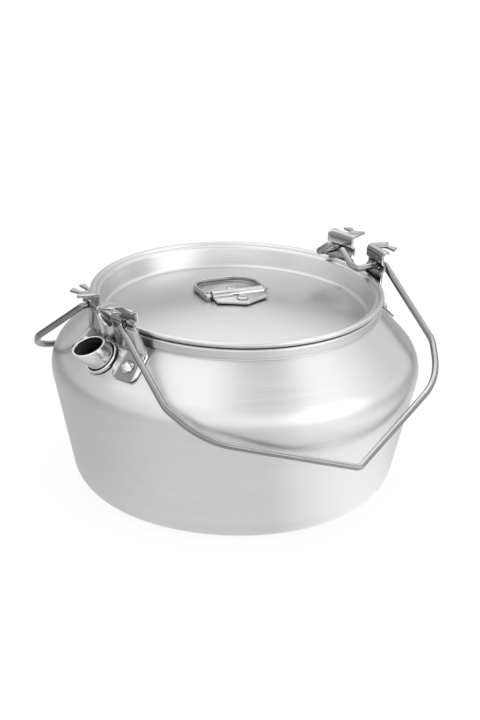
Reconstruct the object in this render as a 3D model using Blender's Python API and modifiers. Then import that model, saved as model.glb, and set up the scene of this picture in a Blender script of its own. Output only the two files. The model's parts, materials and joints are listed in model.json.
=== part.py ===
"""Camping kettle: a spun aluminium body with a drop-in lid, a stub spout and two wire bails.

Units are metres and +Z is up. The origin is the centre of the flat base. The spout bracket is at
-X and the far bracket at +X. Each bail hinges on a line parallel to X, one in front (-Y) and one
behind (+Y), and both hang down beside the body.
"""
import math

import bmesh
import bpy
from mathutils import Matrix, Vector

MM = 0.001

# Air between pieces that touch on the real kettle
GAP = 0.3 * MM

# Kettle body, a spun shell
SHELL = 1.2 * MM
FOOT_RADIUS = 67.2 * MM
FOOT_ROUND = 15.5 * MM
SIDE_LEAN = math.radians(13.2)
SHOULDER_HEIGHT = 60.8 * MM
SHOULDER_ROUND = 15.0 * MM
SHOULDER_SLOPE = math.radians(46.6)
SHOULDER_INSET = 19.66 * MM
NECK_ROUND = 0.5 * MM
NECK_GROOVE = 0.7 * MM
RIM_BEAD_WIDTH = 2.3 * MM
RIM_BEAD_HEIGHT = 4.8 * MM
RIM_BEAD_ROUND = 1.12 * MM
RIM_BEAD_LOWER_ROUND = 0.6 * MM

# Lid, a spun dish with a rolled edge and a domed floor
LID_SHEET = 0.9 * MM
LID_WALL_CLEARANCE = 0.4 * MM
LID_DEPTH = 9.6 * MM
LID_WALL_DRAFT = 1.8 * MM
LID_DOME_RISE = 7.6 * MM
LID_ROLL_RADIUS = 1.25 * MM
LID_ROLL_OVERHANG = 1.9 * MM
LID_FLANGE_DROP = 1.0 * MM
LID_BEND = 1.6 * MM
LID_TURN = math.radians(-13.6)

# Clip and ring on the lid
CLIP_SHEET = 0.9 * MM
CLIP_END_GAP = 0.2 * MM
CLIP_SHOULDER = 6.4 * MM
CLIP_POINT_RISE = 5.9 * MM
CLIP_POINT_ROUND = 3.0 * MM
CLIP_CORNER_ROUND = 0.8 * MM
RING_WIRE = 2.0 * MM
RING_HALF_WIDTH = 14.0 * MM
RING_REACH = 21.5 * MM
RING_CORNER = 9.5 * MM
RING_HEEL = 1.9 * MM
CLIP_RIVET_MARGIN = 1.2 * MM
CLIP_RIVET_HEAD = 2.7 * MM
CLIP_RIVET_SHANK = 1.4 * MM

# Spout, a short tube square to the shoulder, its root outside the neck by SPOUT_STEP
# and its mouth cut aslant by SPOUT_CUT, which brings it nearer to level
SPOUT_RADIUS = 6.7 * MM
SPOUT_WALL = 0.9 * MM
SPOUT_STEP = 8.0 * MM
SPOUT_REACH = 10.0 * MM
SPOUT_CUT = math.radians(25)
SPOUT_LIP = 1.2 * MM
SPOUT_LIP_THICK = 0.9 * MM
COLLAR_WIDTH = 1.1 * MM
COLLAR_HEIGHT = 1.3 * MM

# Bail pivots, above the rim and to each side of the bracket's middle
PIVOT_RISE = 5.4 * MM
PIVOT_OFFSET = 13.5 * MM
PIVOT_RUNNING = 0.35 * MM

# Bail brackets, one sheet each: flange with hooks, web, barrel and riveted foot
BRACKET_SHEET = 0.9 * MM
WEB_STEP = 6.7 * MM
WEB_BEND = 1.4 * MM
BARREL_BULGE = 1.3 * MM
BARREL_ROUND = 2.8 * MM
FLANGE_RISE = 6.2 * MM
TAB_INSET = 8.2 * MM
TAB_OUTSET = 5.8 * MM
SADDLE_DEPTH = 11.7 * MM
CREASE_DROP = 2.4 * MM
CREASE_ROUND = 0.8 * MM
CREASE_FLARE = 2.1 * MM
ARCH_CLEARANCE = 1.3 * MM
TOE_STEP = 3.0 * MM
TOE_FLARE = 7.4 * MM
TOE_MARGIN = 3.65 * MM
TOE_ROUND = 1.6 * MM
TOE_INNER_ROUND = 3.0 * MM
HOOK_INNER_REACH = 9.2 * MM
HOOK_INNER_SIDE = 2.8 * MM
HOOK_NOTCH_REACH = 5.4 * MM
HOOK_NOTCH_SIDE = 1.9 * MM
HOOK_OUTER_REACH = 7.4 * MM
HOOK_OUTER_SIDE = 2.5 * MM
HOOK_TIP_ROUND = 0.7 * MM
HOOK_END_INSET = 1.2 * MM
HOOK_SLOT_ROUND = 0.3 * MM
FOOT_RIVET_HEAD = 3.0 * MM
FOOT_RIVET_SHANK = 1.6 * MM
FOOT_RIVET_INSET = 4.0 * MM
FOOT_RIVET_STEP = 7.6 * MM

# Bails, two alike, bent from round wire
BAIL_WIRE = 3.0 * MM
BAIL_CLEARANCE = 0.34 * MM
BAIL_SPLAY = 0.5 * MM
BAIL_STANDOFF = 6.47 * MM
BAIL_INSET = 8.3 * MM
BAIL_SLANT = 19.0 * MM
BAIL_POINT = 30.0 * MM
BAIL_ELBOW = 2.0 * MM
BAIL_SHOULDER_ROUND = 12.0 * MM
BAIL_CORNER_ROUND = 35.0 * MM
BAIL_PEAK_ROUND = 4.0 * MM
BAIL_HANG = math.radians(36.0)
BAIL_LID_GAP = 0.7 * MM
TAIL_BEND = 3.5 * MM
TAIL_WALL_GAP = 0.3 * MM
TAIL_FLOOR_GAP = 0.5 * MM

# Steps around turned pieces
BODY_STEPS = 60
SMALL_STEPS = 24
RIVET_STEPS = 16
BRACKET_STEPS = 12

# The body's shoulder corner, neck and rim worked out from the sizes above
CORNER_RADIUS = FOOT_RADIUS + math.tan(SIDE_LEAN) * SHOULDER_HEIGHT
NECK_RADIUS = CORNER_RADIUS - SHOULDER_INSET
NECK_HEIGHT = SHOULDER_HEIGHT + math.tan(SHOULDER_SLOPE) * SHOULDER_INSET
RIM_HEIGHT = NECK_HEIGHT + NECK_GROOVE + RIM_BEAD_HEIGHT
RIM_INNER = NECK_RADIUS - SHELL
RIM_OUTER = RIM_INNER + RIM_BEAD_WIDTH
SHOULDER_NORMAL = math.pi / 2 - SHOULDER_SLOPE

# The lid's roll sits on the rim's round top
LID_ROLL_CENTRE = RIM_INNER + LID_ROLL_OVERHANG
LID_OUTER = LID_ROLL_CENTRE + LID_ROLL_RADIUS
ROLL_OFFSET = LID_ROLL_CENTRE - (RIM_OUTER - RIM_BEAD_ROUND)
ROLL_REACH = LID_ROLL_RADIUS + RIM_BEAD_ROUND + GAP
LID_ROLL_HEIGHT = RIM_HEIGHT - RIM_BEAD_ROUND + math.sqrt(ROLL_REACH ** 2 - ROLL_OFFSET ** 2)
LID_TOP = LID_ROLL_HEIGHT + LID_ROLL_RADIUS
LID_FLANGE = LID_TOP - LID_FLANGE_DROP
LID_WALL_RADIUS = RIM_INNER - LID_WALL_CLEARANCE - LID_SHEET
LID_FLOOR_RADIUS = LID_WALL_RADIUS - LID_WALL_DRAFT
LID_FLOOR = LID_FLANGE - LID_DEPTH
LID_CROWN = LID_FLOOR + LID_DOME_RISE

# Clip and ring heights above the lid, and the clip's outline around them
RING_AXIS_HEIGHT = LID_CROWN + GAP + RING_WIRE / 2
CLIP_BARREL_INNER = RING_WIRE / 2 + GAP
CLIP_TOP = LID_CROWN + GAP + CLIP_SHEET
CLIP_HALF_WIDTH = RING_HALF_WIDTH - RING_HEEL - CLIP_END_GAP
CLIP_POINT = CLIP_SHOULDER + CLIP_POINT_RISE
CLIP_RIVET_PLACE = CLIP_BARREL_INNER + CLIP_SHEET + CLIP_RIVET_MARGIN + CLIP_RIVET_HEAD

# The bracket's flange and web, around the pivots and outside the neck
PIVOT_HEIGHT = RIM_HEIGHT + PIVOT_RISE
WEB_RADIUS = NECK_RADIUS + WEB_STEP
BARREL_HALF = math.sqrt(BARREL_ROUND ** 2 - (BARREL_ROUND - BARREL_BULGE) ** 2)
FLANGE_HEIGHT = PIVOT_HEIGHT + FLANGE_RISE
FLANGE_TOP = FLANGE_HEIGHT + BRACKET_SHEET
TAB_INNER = PIVOT_OFFSET - TAB_INSET
TAB_OUTER = PIVOT_OFFSET + TAB_OUTSET
HOOK_TIP_INNER = (WEB_RADIUS + HOOK_INNER_REACH, TAB_INNER + HOOK_INNER_SIDE)
HOOK_NOTCH = (WEB_RADIUS + HOOK_NOTCH_REACH, PIVOT_OFFSET - HOOK_NOTCH_SIDE)
HOOK_TIP_OUTER = (WEB_RADIUS + HOOK_OUTER_REACH, PIVOT_OFFSET + HOOK_OUTER_SIDE)
HOOK_END = TAB_OUTER - HOOK_END_INSET

# The bracket's foot lies on the shoulder and arches over the spout's collar
SPOUT_PLACE = NECK_RADIUS + SPOUT_STEP
ARCH_RADIUS = SPOUT_RADIUS + GAP + COLLAR_WIDTH + ARCH_CLEARANCE
ARCH_RISE = (ARCH_RADIUS * math.cos(SHOULDER_NORMAL)
             + (GAP + COLLAR_HEIGHT) * math.sin(SHOULDER_NORMAL))
SADDLE_HEIGHT = FLANGE_HEIGHT - SADDLE_DEPTH
CREASE_HEIGHT = NECK_HEIGHT - CREASE_DROP
CREASE_HALF_WIDTH = TAB_OUTER + CREASE_FLARE
TOE_INNER = ARCH_RADIUS + TOE_STEP
FOOT_RIVET_PLACE = TOE_INNER + FOOT_RIVET_INSET
TOE_HALF_WIDTH = FOOT_RIVET_PLACE + TOE_FLARE
TOE_HEIGHT = NECK_HEIGHT - FOOT_RIVET_STEP * math.tan(SHOULDER_SLOPE) - TOE_MARGIN

# The bail's legs swing past the barrel, and the lid lifts past the bail's ends
BAIL_HALF_WIDTH = BAIL_CLEARANCE + BAIL_WIRE / 2 + math.sqrt(
    (WEB_RADIUS + BARREL_BULGE) ** 2 - (PIVOT_OFFSET - BAIL_WIRE / 2) ** 2)
BAIL_END = BAIL_LID_GAP + math.sqrt(LID_OUTER ** 2 - (PIVOT_OFFSET - BAIL_WIRE / 2) ** 2)

# The hanging bail's point stands outside the body's shoulder corner
BAIL_PEAK = (CORNER_RADIUS + BAIL_STANDOFF - PIVOT_OFFSET) / math.cos(BAIL_HANG)
BAIL_CORNER = (BAIL_HALF_WIDTH - BAIL_INSET, BAIL_PEAK - BAIL_POINT)
BAIL_SHOULDER = BAIL_CORNER[1] - BAIL_SLANT

# Each bail's far end passes over the lid's edge and turns back as a tail, which reaches down into
# the dish when the bail stands up, clear of the dish's wall and floor
TAIL_RADIUS = LID_FLOOR_RADIUS - TAIL_WALL_GAP - BAIL_WIRE / 2
TAIL_PLACE = math.sqrt(TAIL_RADIUS ** 2 - PIVOT_OFFSET ** 2)
TAIL_LENGTH = (PIVOT_HEIGHT - TAIL_FLOOR_GAP - LID_CROWN
               + LID_DOME_RISE * (TAIL_RADIUS / LID_FLOOR_RADIUS) ** 2)


def material(name, colour, roughness, metallic=1.0):
    """A plain Principled material in the photographed colour."""
    made = bpy.data.materials.new(name)
    made.use_nodes = True
    shader = made.node_tree.nodes["Principled BSDF"]
    shader.inputs["Base Color"].default_value = (*colour, 1.0)
    shader.inputs["Roughness"].default_value = roughness
    shader.inputs["Metallic"].default_value = metallic
    return made


def rounded_path(corners, closed=False, turn_step=math.radians(18)):
    """Points through corners (a, b, radius), each corner replaced by an arc of its radius."""
    count = len(corners)
    points = []
    for index, (a, b, radius) in enumerate(corners):
        here = Vector((a, b))
        ends = index in (0, count - 1)
        if radius == 0 or (ends and not closed):
            points.append(here)
            continue
        before = (Vector(corners[index - 1][:2]) - here).normalized()
        after = (Vector(corners[(index + 1) % count][:2]) - here).normalized()
        opening = before.angle(after)
        turn = math.pi - opening
        if turn < 1e-6:
            points.append(here)
            continue
        middle = (before + after).normalized()
        centre = here + middle * radius / math.sin(opening / 2)
        start = here + before * radius / math.tan(opening / 2) - centre
        side = 1 if before.x * after.y - before.y * after.x < 0 else -1
        steps = max(2, math.ceil(turn / turn_step))
        for step in range(steps + 1):
            angle = side * turn * step / steps
            cos, sin = math.cos(angle), math.sin(angle)
            points.append(centre + Vector((start.x * cos - start.y * sin,
                                           start.x * sin + start.y * cos)))
    return points


def offset_path(path, distance):
    """The open path moved sideways by distance, to the left of its direction."""
    moved = []
    for index, point in enumerate(path):
        normals = []
        for first, second in ((index - 1, index), (index, index + 1)):
            if 0 <= first and second < len(path):
                along = (path[second] - path[first]).normalized()
                normals.append(Vector((-along.y, along.x)))
        mean = sum(normals, Vector((0, 0))).normalized()
        moved.append(point + mean * distance / mean.dot(normals[0]))
    return moved


def arc(centre, radius, start, end, steps):
    """Points on an arc, angles in radians."""
    return [centre + radius * Vector((math.cos(start + (end - start) * step / steps),
                                      math.sin(start + (end - start) * step / steps)))
            for step in range(steps + 1)]


def add_object(name, mesh, finish, collection):
    made = bpy.data.objects.new(name, mesh)
    if finish is not None:
        mesh.materials.append(finish)
    collection.objects.link(made)
    return made


def wire_mesh(name, points, closed=False):
    """A mesh that holds only a chain of edges."""
    mesh = bpy.data.meshes.new(name)
    edges = [(index, index + 1) for index in range(len(points) - 1)]
    if closed:
        edges.append((len(points) - 1, 0))
    mesh.from_pydata([tuple(point) for point in points], edges, [])
    return mesh


def turned(name, profile, steps, finish, collection, closed=False):
    """A solid of revolution about Z; the profile runs down its outer side."""
    mesh = wire_mesh(name, [(point.x, 0, point.y) for point in profile], closed)
    made = add_object(name, mesh, finish, collection)
    screw = made.modifiers.new("turn", "SCREW")
    screw.steps = steps
    screw.render_steps = steps
    screw.use_merge_vertices = True
    screw.merge_threshold = 0.00001
    return made


def outline_mesh(name, outline, thickness):
    """A flat plate in XY, centred on z = 0, with the closed outline."""
    curve = bpy.data.curves.new(name, "CURVE")
    curve.dimensions = "2D"
    curve.fill_mode = "BOTH"
    curve.extrude = thickness / 2
    spline = curve.splines.new("POLY")
    spline.points.add(len(outline) - 1)
    for point, place in zip(spline.points, outline):
        point.co = (place[0], place[1], 0, 1)
    spline.use_cyclic_u = True
    return curve_to_mesh(name, curve)


def curve_to_mesh(name, curve):
    """The curve's surface as a welded mesh; the curve is removed."""
    guide = bpy.data.objects.new(name + "_guide", curve)
    bpy.context.scene.collection.objects.link(guide)
    evaluated = guide.evaluated_get(bpy.context.evaluated_depsgraph_get())
    mesh = bpy.data.meshes.new_from_object(evaluated)
    mesh.name = name
    bpy.data.objects.remove(guide)
    bpy.data.curves.remove(curve)
    shape = bmesh.new()
    shape.from_mesh(mesh)
    bmesh.ops.remove_doubles(shape, verts=shape.verts, dist=0.000001)
    bmesh.ops.recalc_face_normals(shape, faces=shape.faces)
    shape.to_mesh(mesh)
    shape.free()
    return mesh


def tube_mesh(name, points, radius, closed=False, widths=None):
    """Round wire along points; widths scales the radius at each point."""
    curve = bpy.data.curves.new(name, "CURVE")
    curve.dimensions = "3D"
    curve.bevel_depth = radius
    curve.bevel_resolution = 2
    curve.use_fill_caps = not closed
    spline = curve.splines.new("POLY")
    spline.points.add(len(points) - 1)
    for index, place in enumerate(points):
        spline.points[index].co = (*place, 1)
        spline.points[index].radius = widths[index] if widths else 1.0
    spline.use_cyclic_u = closed
    mesh = curve_to_mesh(name, curve)
    mesh.shade_smooth()
    return mesh


def cylinder_mesh(name, radius, length, segments):
    """A cylinder along Z, centred on the origin."""
    shape = bmesh.new()
    bmesh.ops.create_cone(shape, cap_ends=True, segments=segments, radius1=radius,
                          radius2=radius, depth=length)
    mesh = bpy.data.meshes.new(name)
    shape.to_mesh(mesh)
    shape.free()
    return mesh


def box_mesh(name, low, high):
    """A box between two corners."""
    shape = bmesh.new()
    bmesh.ops.create_cube(shape, size=1)
    low, high = Vector(low), Vector(high)
    bmesh.ops.scale(shape, vec=high - low, verts=shape.verts)
    bmesh.ops.translate(shape, vec=(high + low) / 2, verts=shape.verts)
    mesh = bpy.data.meshes.new(name)
    shape.to_mesh(mesh)
    shape.free()
    return mesh


def cutter(name, mesh, place, cutters):
    """An object that only shapes others."""
    made = add_object(name, mesh, None, cutters)
    made.matrix_world = place
    made.hide_render = True
    made.display_type = "WIRE"
    return made


def combine(target, tool, operation):
    step = target.modifiers.new(tool.name, "BOOLEAN")
    step.operation = operation
    step.solver = "EXACT"
    step.object = tool


def shoulder_height(radius):
    """Height of the shoulder's outer face at a radius on its straight slope."""
    return NECK_HEIGHT - (radius - NECK_RADIUS) * math.tan(SHOULDER_SLOPE)


def shoulder_frame(radius, azimuth, lift=0.0):
    """A frame on the shoulder with Z square to its surface and X up the slope."""
    outward = Vector((math.cos(azimuth), math.sin(azimuth), 0))
    normal = outward * math.cos(SHOULDER_NORMAL) + Vector((0, 0, math.sin(SHOULDER_NORMAL)))
    uphill = Vector((0, 0, math.cos(SHOULDER_NORMAL))) - outward * math.sin(SHOULDER_NORMAL)
    across = normal.cross(uphill)
    place = outward * radius + Vector((0, 0, shoulder_height(radius))) + normal * lift
    frame = Matrix((uphill, across, normal)).transposed().to_4x4()
    frame.translation = place
    return frame


def lid_dome(radius):
    """Height of the lid floor's top face at a distance from the axis."""
    return LID_CROWN - LID_DOME_RISE * (radius / LID_FLOOR_RADIUS) ** 2


def body_outer():
    """Outer side of the shell, from the neck groove down to the base centre."""
    lean = math.tan(SIDE_LEAN) * SHOULDER_HEIGHT
    return rounded_path([
        (NECK_RADIUS, NECK_HEIGHT + NECK_GROOVE, 0),
        (NECK_RADIUS, NECK_HEIGHT, NECK_ROUND),
        (FOOT_RADIUS + lean, SHOULDER_HEIGHT, SHOULDER_ROUND),
        (FOOT_RADIUS, 0, FOOT_ROUND),
        (0, 0, 0),
    ])


def make_body(finish, parts, cutters):
    outer = body_outer()
    inner = offset_path(outer, -SHELL)
    inner[-1].x = 0
    inner[0].y = RIM_HEIGHT - RIM_BEAD_ROUND
    bead = rounded_path([
        (RIM_INNER, RIM_HEIGHT - 2 * RIM_BEAD_ROUND, 0),
        (RIM_INNER, RIM_HEIGHT, RIM_BEAD_ROUND),
        (RIM_OUTER, RIM_HEIGHT, RIM_BEAD_ROUND),
        (RIM_OUTER, RIM_HEIGHT - RIM_BEAD_HEIGHT, RIM_BEAD_LOWER_ROUND),
        (NECK_RADIUS, RIM_HEIGHT - RIM_BEAD_HEIGHT, 0),
    ], turn_step=math.radians(30))
    profile = inner[:0:-1] + bead[1:-1] + outer
    body = turned("kettle_body", profile, BODY_STEPS, finish, parts)
    bore = cylinder_mesh("spout_hole", SPOUT_RADIUS + GAP, 8 * SHELL, SMALL_STEPS)
    combine(body, cutter("spout_hole", bore, shoulder_frame(SPOUT_PLACE, math.pi), cutters),
            "DIFFERENCE")
    for name, azimuth in foot_rivets():
        hole = cylinder_mesh(name + "_hole", FOOT_RIVET_SHANK + GAP, 8 * SHELL, RIVET_STEPS)
        place = shoulder_frame(foot_rivet_radius(), azimuth)
        combine(body, cutter(name + "_body_hole", hole, place, cutters), "DIFFERENCE")
    return body


def make_lid(finish, parts, cutters):
    """The dish, its floor, wall and flange as one sheet that ends in a round roll."""
    centre = Vector((LID_ROLL_CENTRE, LID_ROLL_HEIGHT))
    dome = [Vector((LID_FLOOR_RADIUS * step / 6, lid_dome(LID_FLOOR_RADIUS * step / 6)))
            for step in range(6)]
    upper = rounded_path([
        (dome[-1].x, dome[-1].y, 0),
        (LID_FLOOR_RADIUS, LID_FLOOR, LID_BEND),
        (LID_WALL_RADIUS, LID_FLANGE, LID_BEND),
        (LID_ROLL_CENTRE, LID_FLANGE, 0),
    ], turn_step=math.radians(30))
    top = dome + upper[1:-1]
    under = offset_path(top, -LID_SHEET)
    under[0].x = 0
    high = math.asin((LID_FLANGE - LID_ROLL_HEIGHT) / LID_ROLL_RADIUS)
    low = math.asin((LID_FLANGE - LID_SHEET - LID_ROLL_HEIGHT) / LID_ROLL_RADIUS)
    roll = arc(centre, LID_ROLL_RADIUS, math.pi - high, -math.pi - low, 9)
    lid = turned("lid", top + roll + under[::-1], BODY_STEPS, finish, parts)
    for name, side in clip_rivets():
        hole = cylinder_mesh(name + "_hole", CLIP_RIVET_SHANK + GAP, 12 * LID_SHEET, RIVET_STEPS)
        place = lid_frame(0, side * CLIP_RIVET_PLACE, lid_dome(CLIP_RIVET_PLACE))
        combine(lid, cutter(name + "_lid_hole", hole, place, cutters), "DIFFERENCE")
    return lid


def lid_frame(along, back, height):
    """A frame turned with the lid: X along the ring's bar, Y towards the lying ring."""
    turn = Matrix.Rotation(LID_TURN, 4, "Z")
    return turn @ Matrix.Translation((along, back, height))


def clip_rivets():
    return (("lid_ring_rivet_front", -1), ("lid_ring_rivet_back", 1))


def make_clip(finish, parts, cutters):
    """Pointed plate with a half-round barrel pressed up along its middle."""
    flat = CLIP_TOP
    radius = CLIP_BARREL_INNER + CLIP_SHEET
    start = math.asin((flat - RING_AXIS_HEIGHT) / radius)
    barrel = arc(Vector((0, RING_AXIS_HEIGHT)), radius, math.pi - start, start, 10)
    reach = CLIP_POINT + CLIP_SHEET
    section = [Vector((-reach, flat))] + barrel + [Vector((reach, flat))]
    mesh = wire_mesh("lid_ring_clip", [(-CLIP_HALF_WIDTH * 1.1, point.x, point.y)
                                       for point in section])
    shape = bmesh.new()
    shape.from_mesh(mesh)
    swept = bmesh.ops.extrude_edge_only(shape, edges=shape.edges)["geom"]
    verts = [item for item in swept if isinstance(item, bmesh.types.BMVert)]
    bmesh.ops.translate(shape, vec=(CLIP_HALF_WIDTH * 2.2, 0, 0), verts=verts)
    bmesh.ops.recalc_face_normals(shape, faces=shape.faces)
    if sum(face.normal.z for face in shape.faces) < 0:
        bmesh.ops.reverse_faces(shape, faces=shape.faces)
    shape.to_mesh(mesh)
    shape.free()
    clip = add_object("lid_ring_clip", mesh, finish, parts)
    clip.matrix_world = lid_frame(0, 0, 0)
    sheet = clip.modifiers.new("sheet", "SOLIDIFY")
    sheet.thickness = CLIP_SHEET
    sheet.offset = -1
    sheet.use_even_offset = True
    half = [(CLIP_HALF_WIDTH, -CLIP_SHOULDER, CLIP_CORNER_ROUND),
            (CLIP_HALF_WIDTH, CLIP_SHOULDER, CLIP_CORNER_ROUND),
            (0, CLIP_POINT, CLIP_POINT_ROUND)]
    outline = half + [(-a, -b, radius) for a, b, radius in half]
    plan = outline_mesh("clip_outline", rounded_path(outline, closed=True), 20 * CLIP_SHEET)
    combine(clip, cutter("clip_outline", plan, lid_frame(0, 0, flat), cutters), "INTERSECT")
    for name, side in clip_rivets():
        hole = cylinder_mesh(name + "_hole", CLIP_RIVET_SHANK + GAP, 4 * CLIP_SHEET, RIVET_STEPS)
        place = lid_frame(0, side * CLIP_RIVET_PLACE, flat)
        combine(clip, cutter(name + "_clip_hole", hole, place, cutters), "DIFFERENCE")
    return clip


def ring_drop():
    """How far the ring hangs below level until its far side rests on the lid's floor."""
    floor = lid_dome(RING_REACH) + GAP + RING_WIRE / 2
    return math.asin((RING_AXIS_HEIGHT - floor) / RING_REACH)


def make_ring(finish, parts):
    """D-shaped ring whose straight bar runs in the clip's barrel."""
    corners = [(-RING_HALF_WIDTH, 0, RING_HEEL), (RING_HALF_WIDTH, 0, RING_HEEL),
               (RING_HALF_WIDTH, RING_REACH, RING_CORNER),
               (-RING_HALF_WIDTH, RING_REACH, RING_CORNER)]
    path = rounded_path(corners, closed=True)
    mesh = tube_mesh("lid_ring", [(point.x, point.y, 0) for point in path], RING_WIRE / 2,
                     closed=True)
    ring = add_object("lid_ring", mesh, finish, parts)
    ring.matrix_world = lid_frame(0, 0, RING_AXIS_HEIGHT) @ Matrix.Rotation(-ring_drop(), 4, "X")
    return ring


def make_rivet(name, place, head, dome, shank, below, finish, parts):
    """A domed rivet; z = 0 is its head's underside, and below is the top of its formed tail."""
    tail = head * 0.8
    thick = dome * 0.6
    crown = (head ** 2 - dome ** 2) / (2 * dome)
    radius = crown + dome
    sweep = math.asin(head / radius)
    cap = [Vector((radius * math.sin(sweep * step / 4), radius * math.cos(sweep * step / 4) - crown))
           for step in range(5)]
    cap[0].x = 0
    stem = [Vector((shank, 0)), Vector((shank, -below)), Vector((tail, -below)),
            Vector((tail, -below - thick)), Vector((0, -below - thick))]
    rivet = turned(name, cap + stem, RIVET_STEPS, finish, parts)
    rivet.matrix_world = place
    return rivet


def make_clip_rivets(finish, parts):
    for name, side in clip_rivets():
        seat = CLIP_TOP + GAP
        under = lid_dome(CLIP_RIVET_PLACE) - LID_SHEET
        place = lid_frame(0, side * CLIP_RIVET_PLACE, seat)
        tail_room = seat - under + GAP + (lid_dome(CLIP_RIVET_PLACE)
                                          - lid_dome(CLIP_RIVET_PLACE + CLIP_RIVET_HEAD))
        make_rivet(name, place, CLIP_RIVET_HEAD, CLIP_RIVET_HEAD * 0.4, CLIP_RIVET_SHANK,
                   tail_room, finish, parts)


def shoulder_sag(reach):
    """How far the round shoulder falls away from a flat face at this distance to its side."""
    curvature = SPOUT_PLACE / math.cos(SHOULDER_NORMAL)
    return reach ** 2 / (2 * curvature)


def make_spout(finish, parts, cutters):
    """Tube with a lip spread inside the body, and the collar around it outside."""
    bore = SPOUT_RADIUS - SPOUT_WALL
    lip = SPOUT_RADIUS + SPOUT_LIP
    lip_top = -SHELL - GAP - shoulder_sag(lip)
    lip_bottom = lip_top - SPOUT_LIP_THICK
    uncut = SPOUT_REACH + SPOUT_RADIUS * math.tan(SPOUT_CUT) + SPOUT_WALL
    tube = rounded_path([
        (bore, uncut, 0), (SPOUT_RADIUS, uncut, 0),
        (SPOUT_RADIUS, lip_top, 0), (lip, lip_top, 0), (lip, lip_bottom, 0),
        (bore, lip_bottom, 0),
    ], closed=True)
    spout = turned("spout_tube", tube, SMALL_STEPS, finish, parts, closed=True)
    spout.matrix_world = shoulder_frame(SPOUT_PLACE, math.pi)
    mouth = shoulder_frame(SPOUT_PLACE, math.pi, SPOUT_REACH) @ Matrix.Rotation(SPOUT_CUT, 4, "Y")
    above = box_mesh("spout_mouth", (-2 * uncut, -2 * uncut, 0), (2 * uncut, 2 * uncut, 2 * uncut))
    combine(spout, cutter("spout_mouth", above, mouth, cutters), "DIFFERENCE")
    inner = SPOUT_RADIUS + GAP
    outer = inner + COLLAR_WIDTH
    round_over = COLLAR_WIDTH * 0.45
    ring = rounded_path([
        (inner, COLLAR_HEIGHT, round_over), (outer, COLLAR_HEIGHT, round_over),
        (outer, 0, 0), (inner, 0, 0),
    ], closed=True, turn_step=math.radians(30))
    collar = turned("spout_collar", ring, SMALL_STEPS, finish, parts, closed=True)
    collar.matrix_world = shoulder_frame(SPOUT_PLACE, math.pi, GAP)


def foot_rivet_radius():
    """Distance from the axis to a foot rivet, measured down the shoulder from the neck."""
    return NECK_RADIUS + FOOT_RIVET_STEP


def foot_rivets():
    """Names and azimuths of the four rivets that hold the brackets' feet."""
    spread = math.asin(FOOT_RIVET_PLACE / foot_rivet_radius())
    return (("spout_bracket_rivet_front", math.pi + spread),
            ("spout_bracket_rivet_back", math.pi - spread),
            ("far_bracket_rivet_front", -spread),
            ("far_bracket_rivet_back", spread))


def make_foot_rivets(finish, parts):
    for name, azimuth in foot_rivets():
        seat = 2 * GAP + BRACKET_SHEET
        below = seat + SHELL + GAP + shoulder_sag(FOOT_RIVET_HEAD)
        place = shoulder_frame(foot_rivet_radius(), azimuth, seat)
        make_rivet(name, place, FOOT_RIVET_HEAD, FOOT_RIVET_HEAD * 0.45, FOOT_RIVET_SHANK, below,
                   finish, parts)


def bracket_section():
    """Outer face of the bracket sheet as radius and height, from the flange tip to the toe."""
    stand = (GAP + BRACKET_SHEET) / math.cos(SHOULDER_NORMAL)
    slope = math.tan(SHOULDER_SLOPE)

    def on_foot(height):
        return NECK_RADIUS + (NECK_HEIGHT - height) / slope + stand

    centre = Vector((WEB_RADIUS + BARREL_BULGE - BARREL_ROUND, PIVOT_HEIGHT))
    spread = math.asin(BARREL_HALF / BARREL_ROUND)
    barrel = arc(centre, BARREL_ROUND, spread, -spread, 5)
    below = TOE_HEIGHT - 2 * BRACKET_SHEET
    return rounded_path([
        (HOOK_TIP_INNER[0] + 2 * BRACKET_SHEET, FLANGE_HEIGHT, 0),
        (WEB_RADIUS, FLANGE_HEIGHT, WEB_BEND),
        *((point.x, point.y, 0) for point in barrel),
        (on_foot(CREASE_HEIGHT), CREASE_HEIGHT, CREASE_ROUND),
        (on_foot(below), below, 0),
    ], turn_step=math.radians(30))


def bracket_front():
    """Outline of the bracket seen along X, as y and z."""
    spout_height = shoulder_height(SPOUT_PLACE)
    above = FLANGE_TOP + BRACKET_SHEET
    over = [(ARCH_RADIUS * math.cos(angle), spout_height + ARCH_RISE * math.sin(angle), 0)
            for angle in (math.radians(15 * step) for step in range(0, 7))]
    half = [
        (0, SADDLE_HEIGHT, 0),
        (TAB_INNER, SADDLE_HEIGHT, TAB_INNER * 0.9),
        (TAB_INNER, above, 0),
        (TAB_OUTER, above, 0),
        (TAB_OUTER, PIVOT_HEIGHT - BARREL_HALF, 0),
        (CREASE_HALF_WIDTH, CREASE_HEIGHT, CREASE_ROUND),
        (TOE_HALF_WIDTH, TOE_HEIGHT, TOE_ROUND),
        (TOE_INNER, TOE_HEIGHT, TOE_INNER_ROUND),
    ] + over
    return rounded_path(half + [(-a, b, radius) for a, b, radius in half[-2:0:-1]], closed=True)


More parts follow.
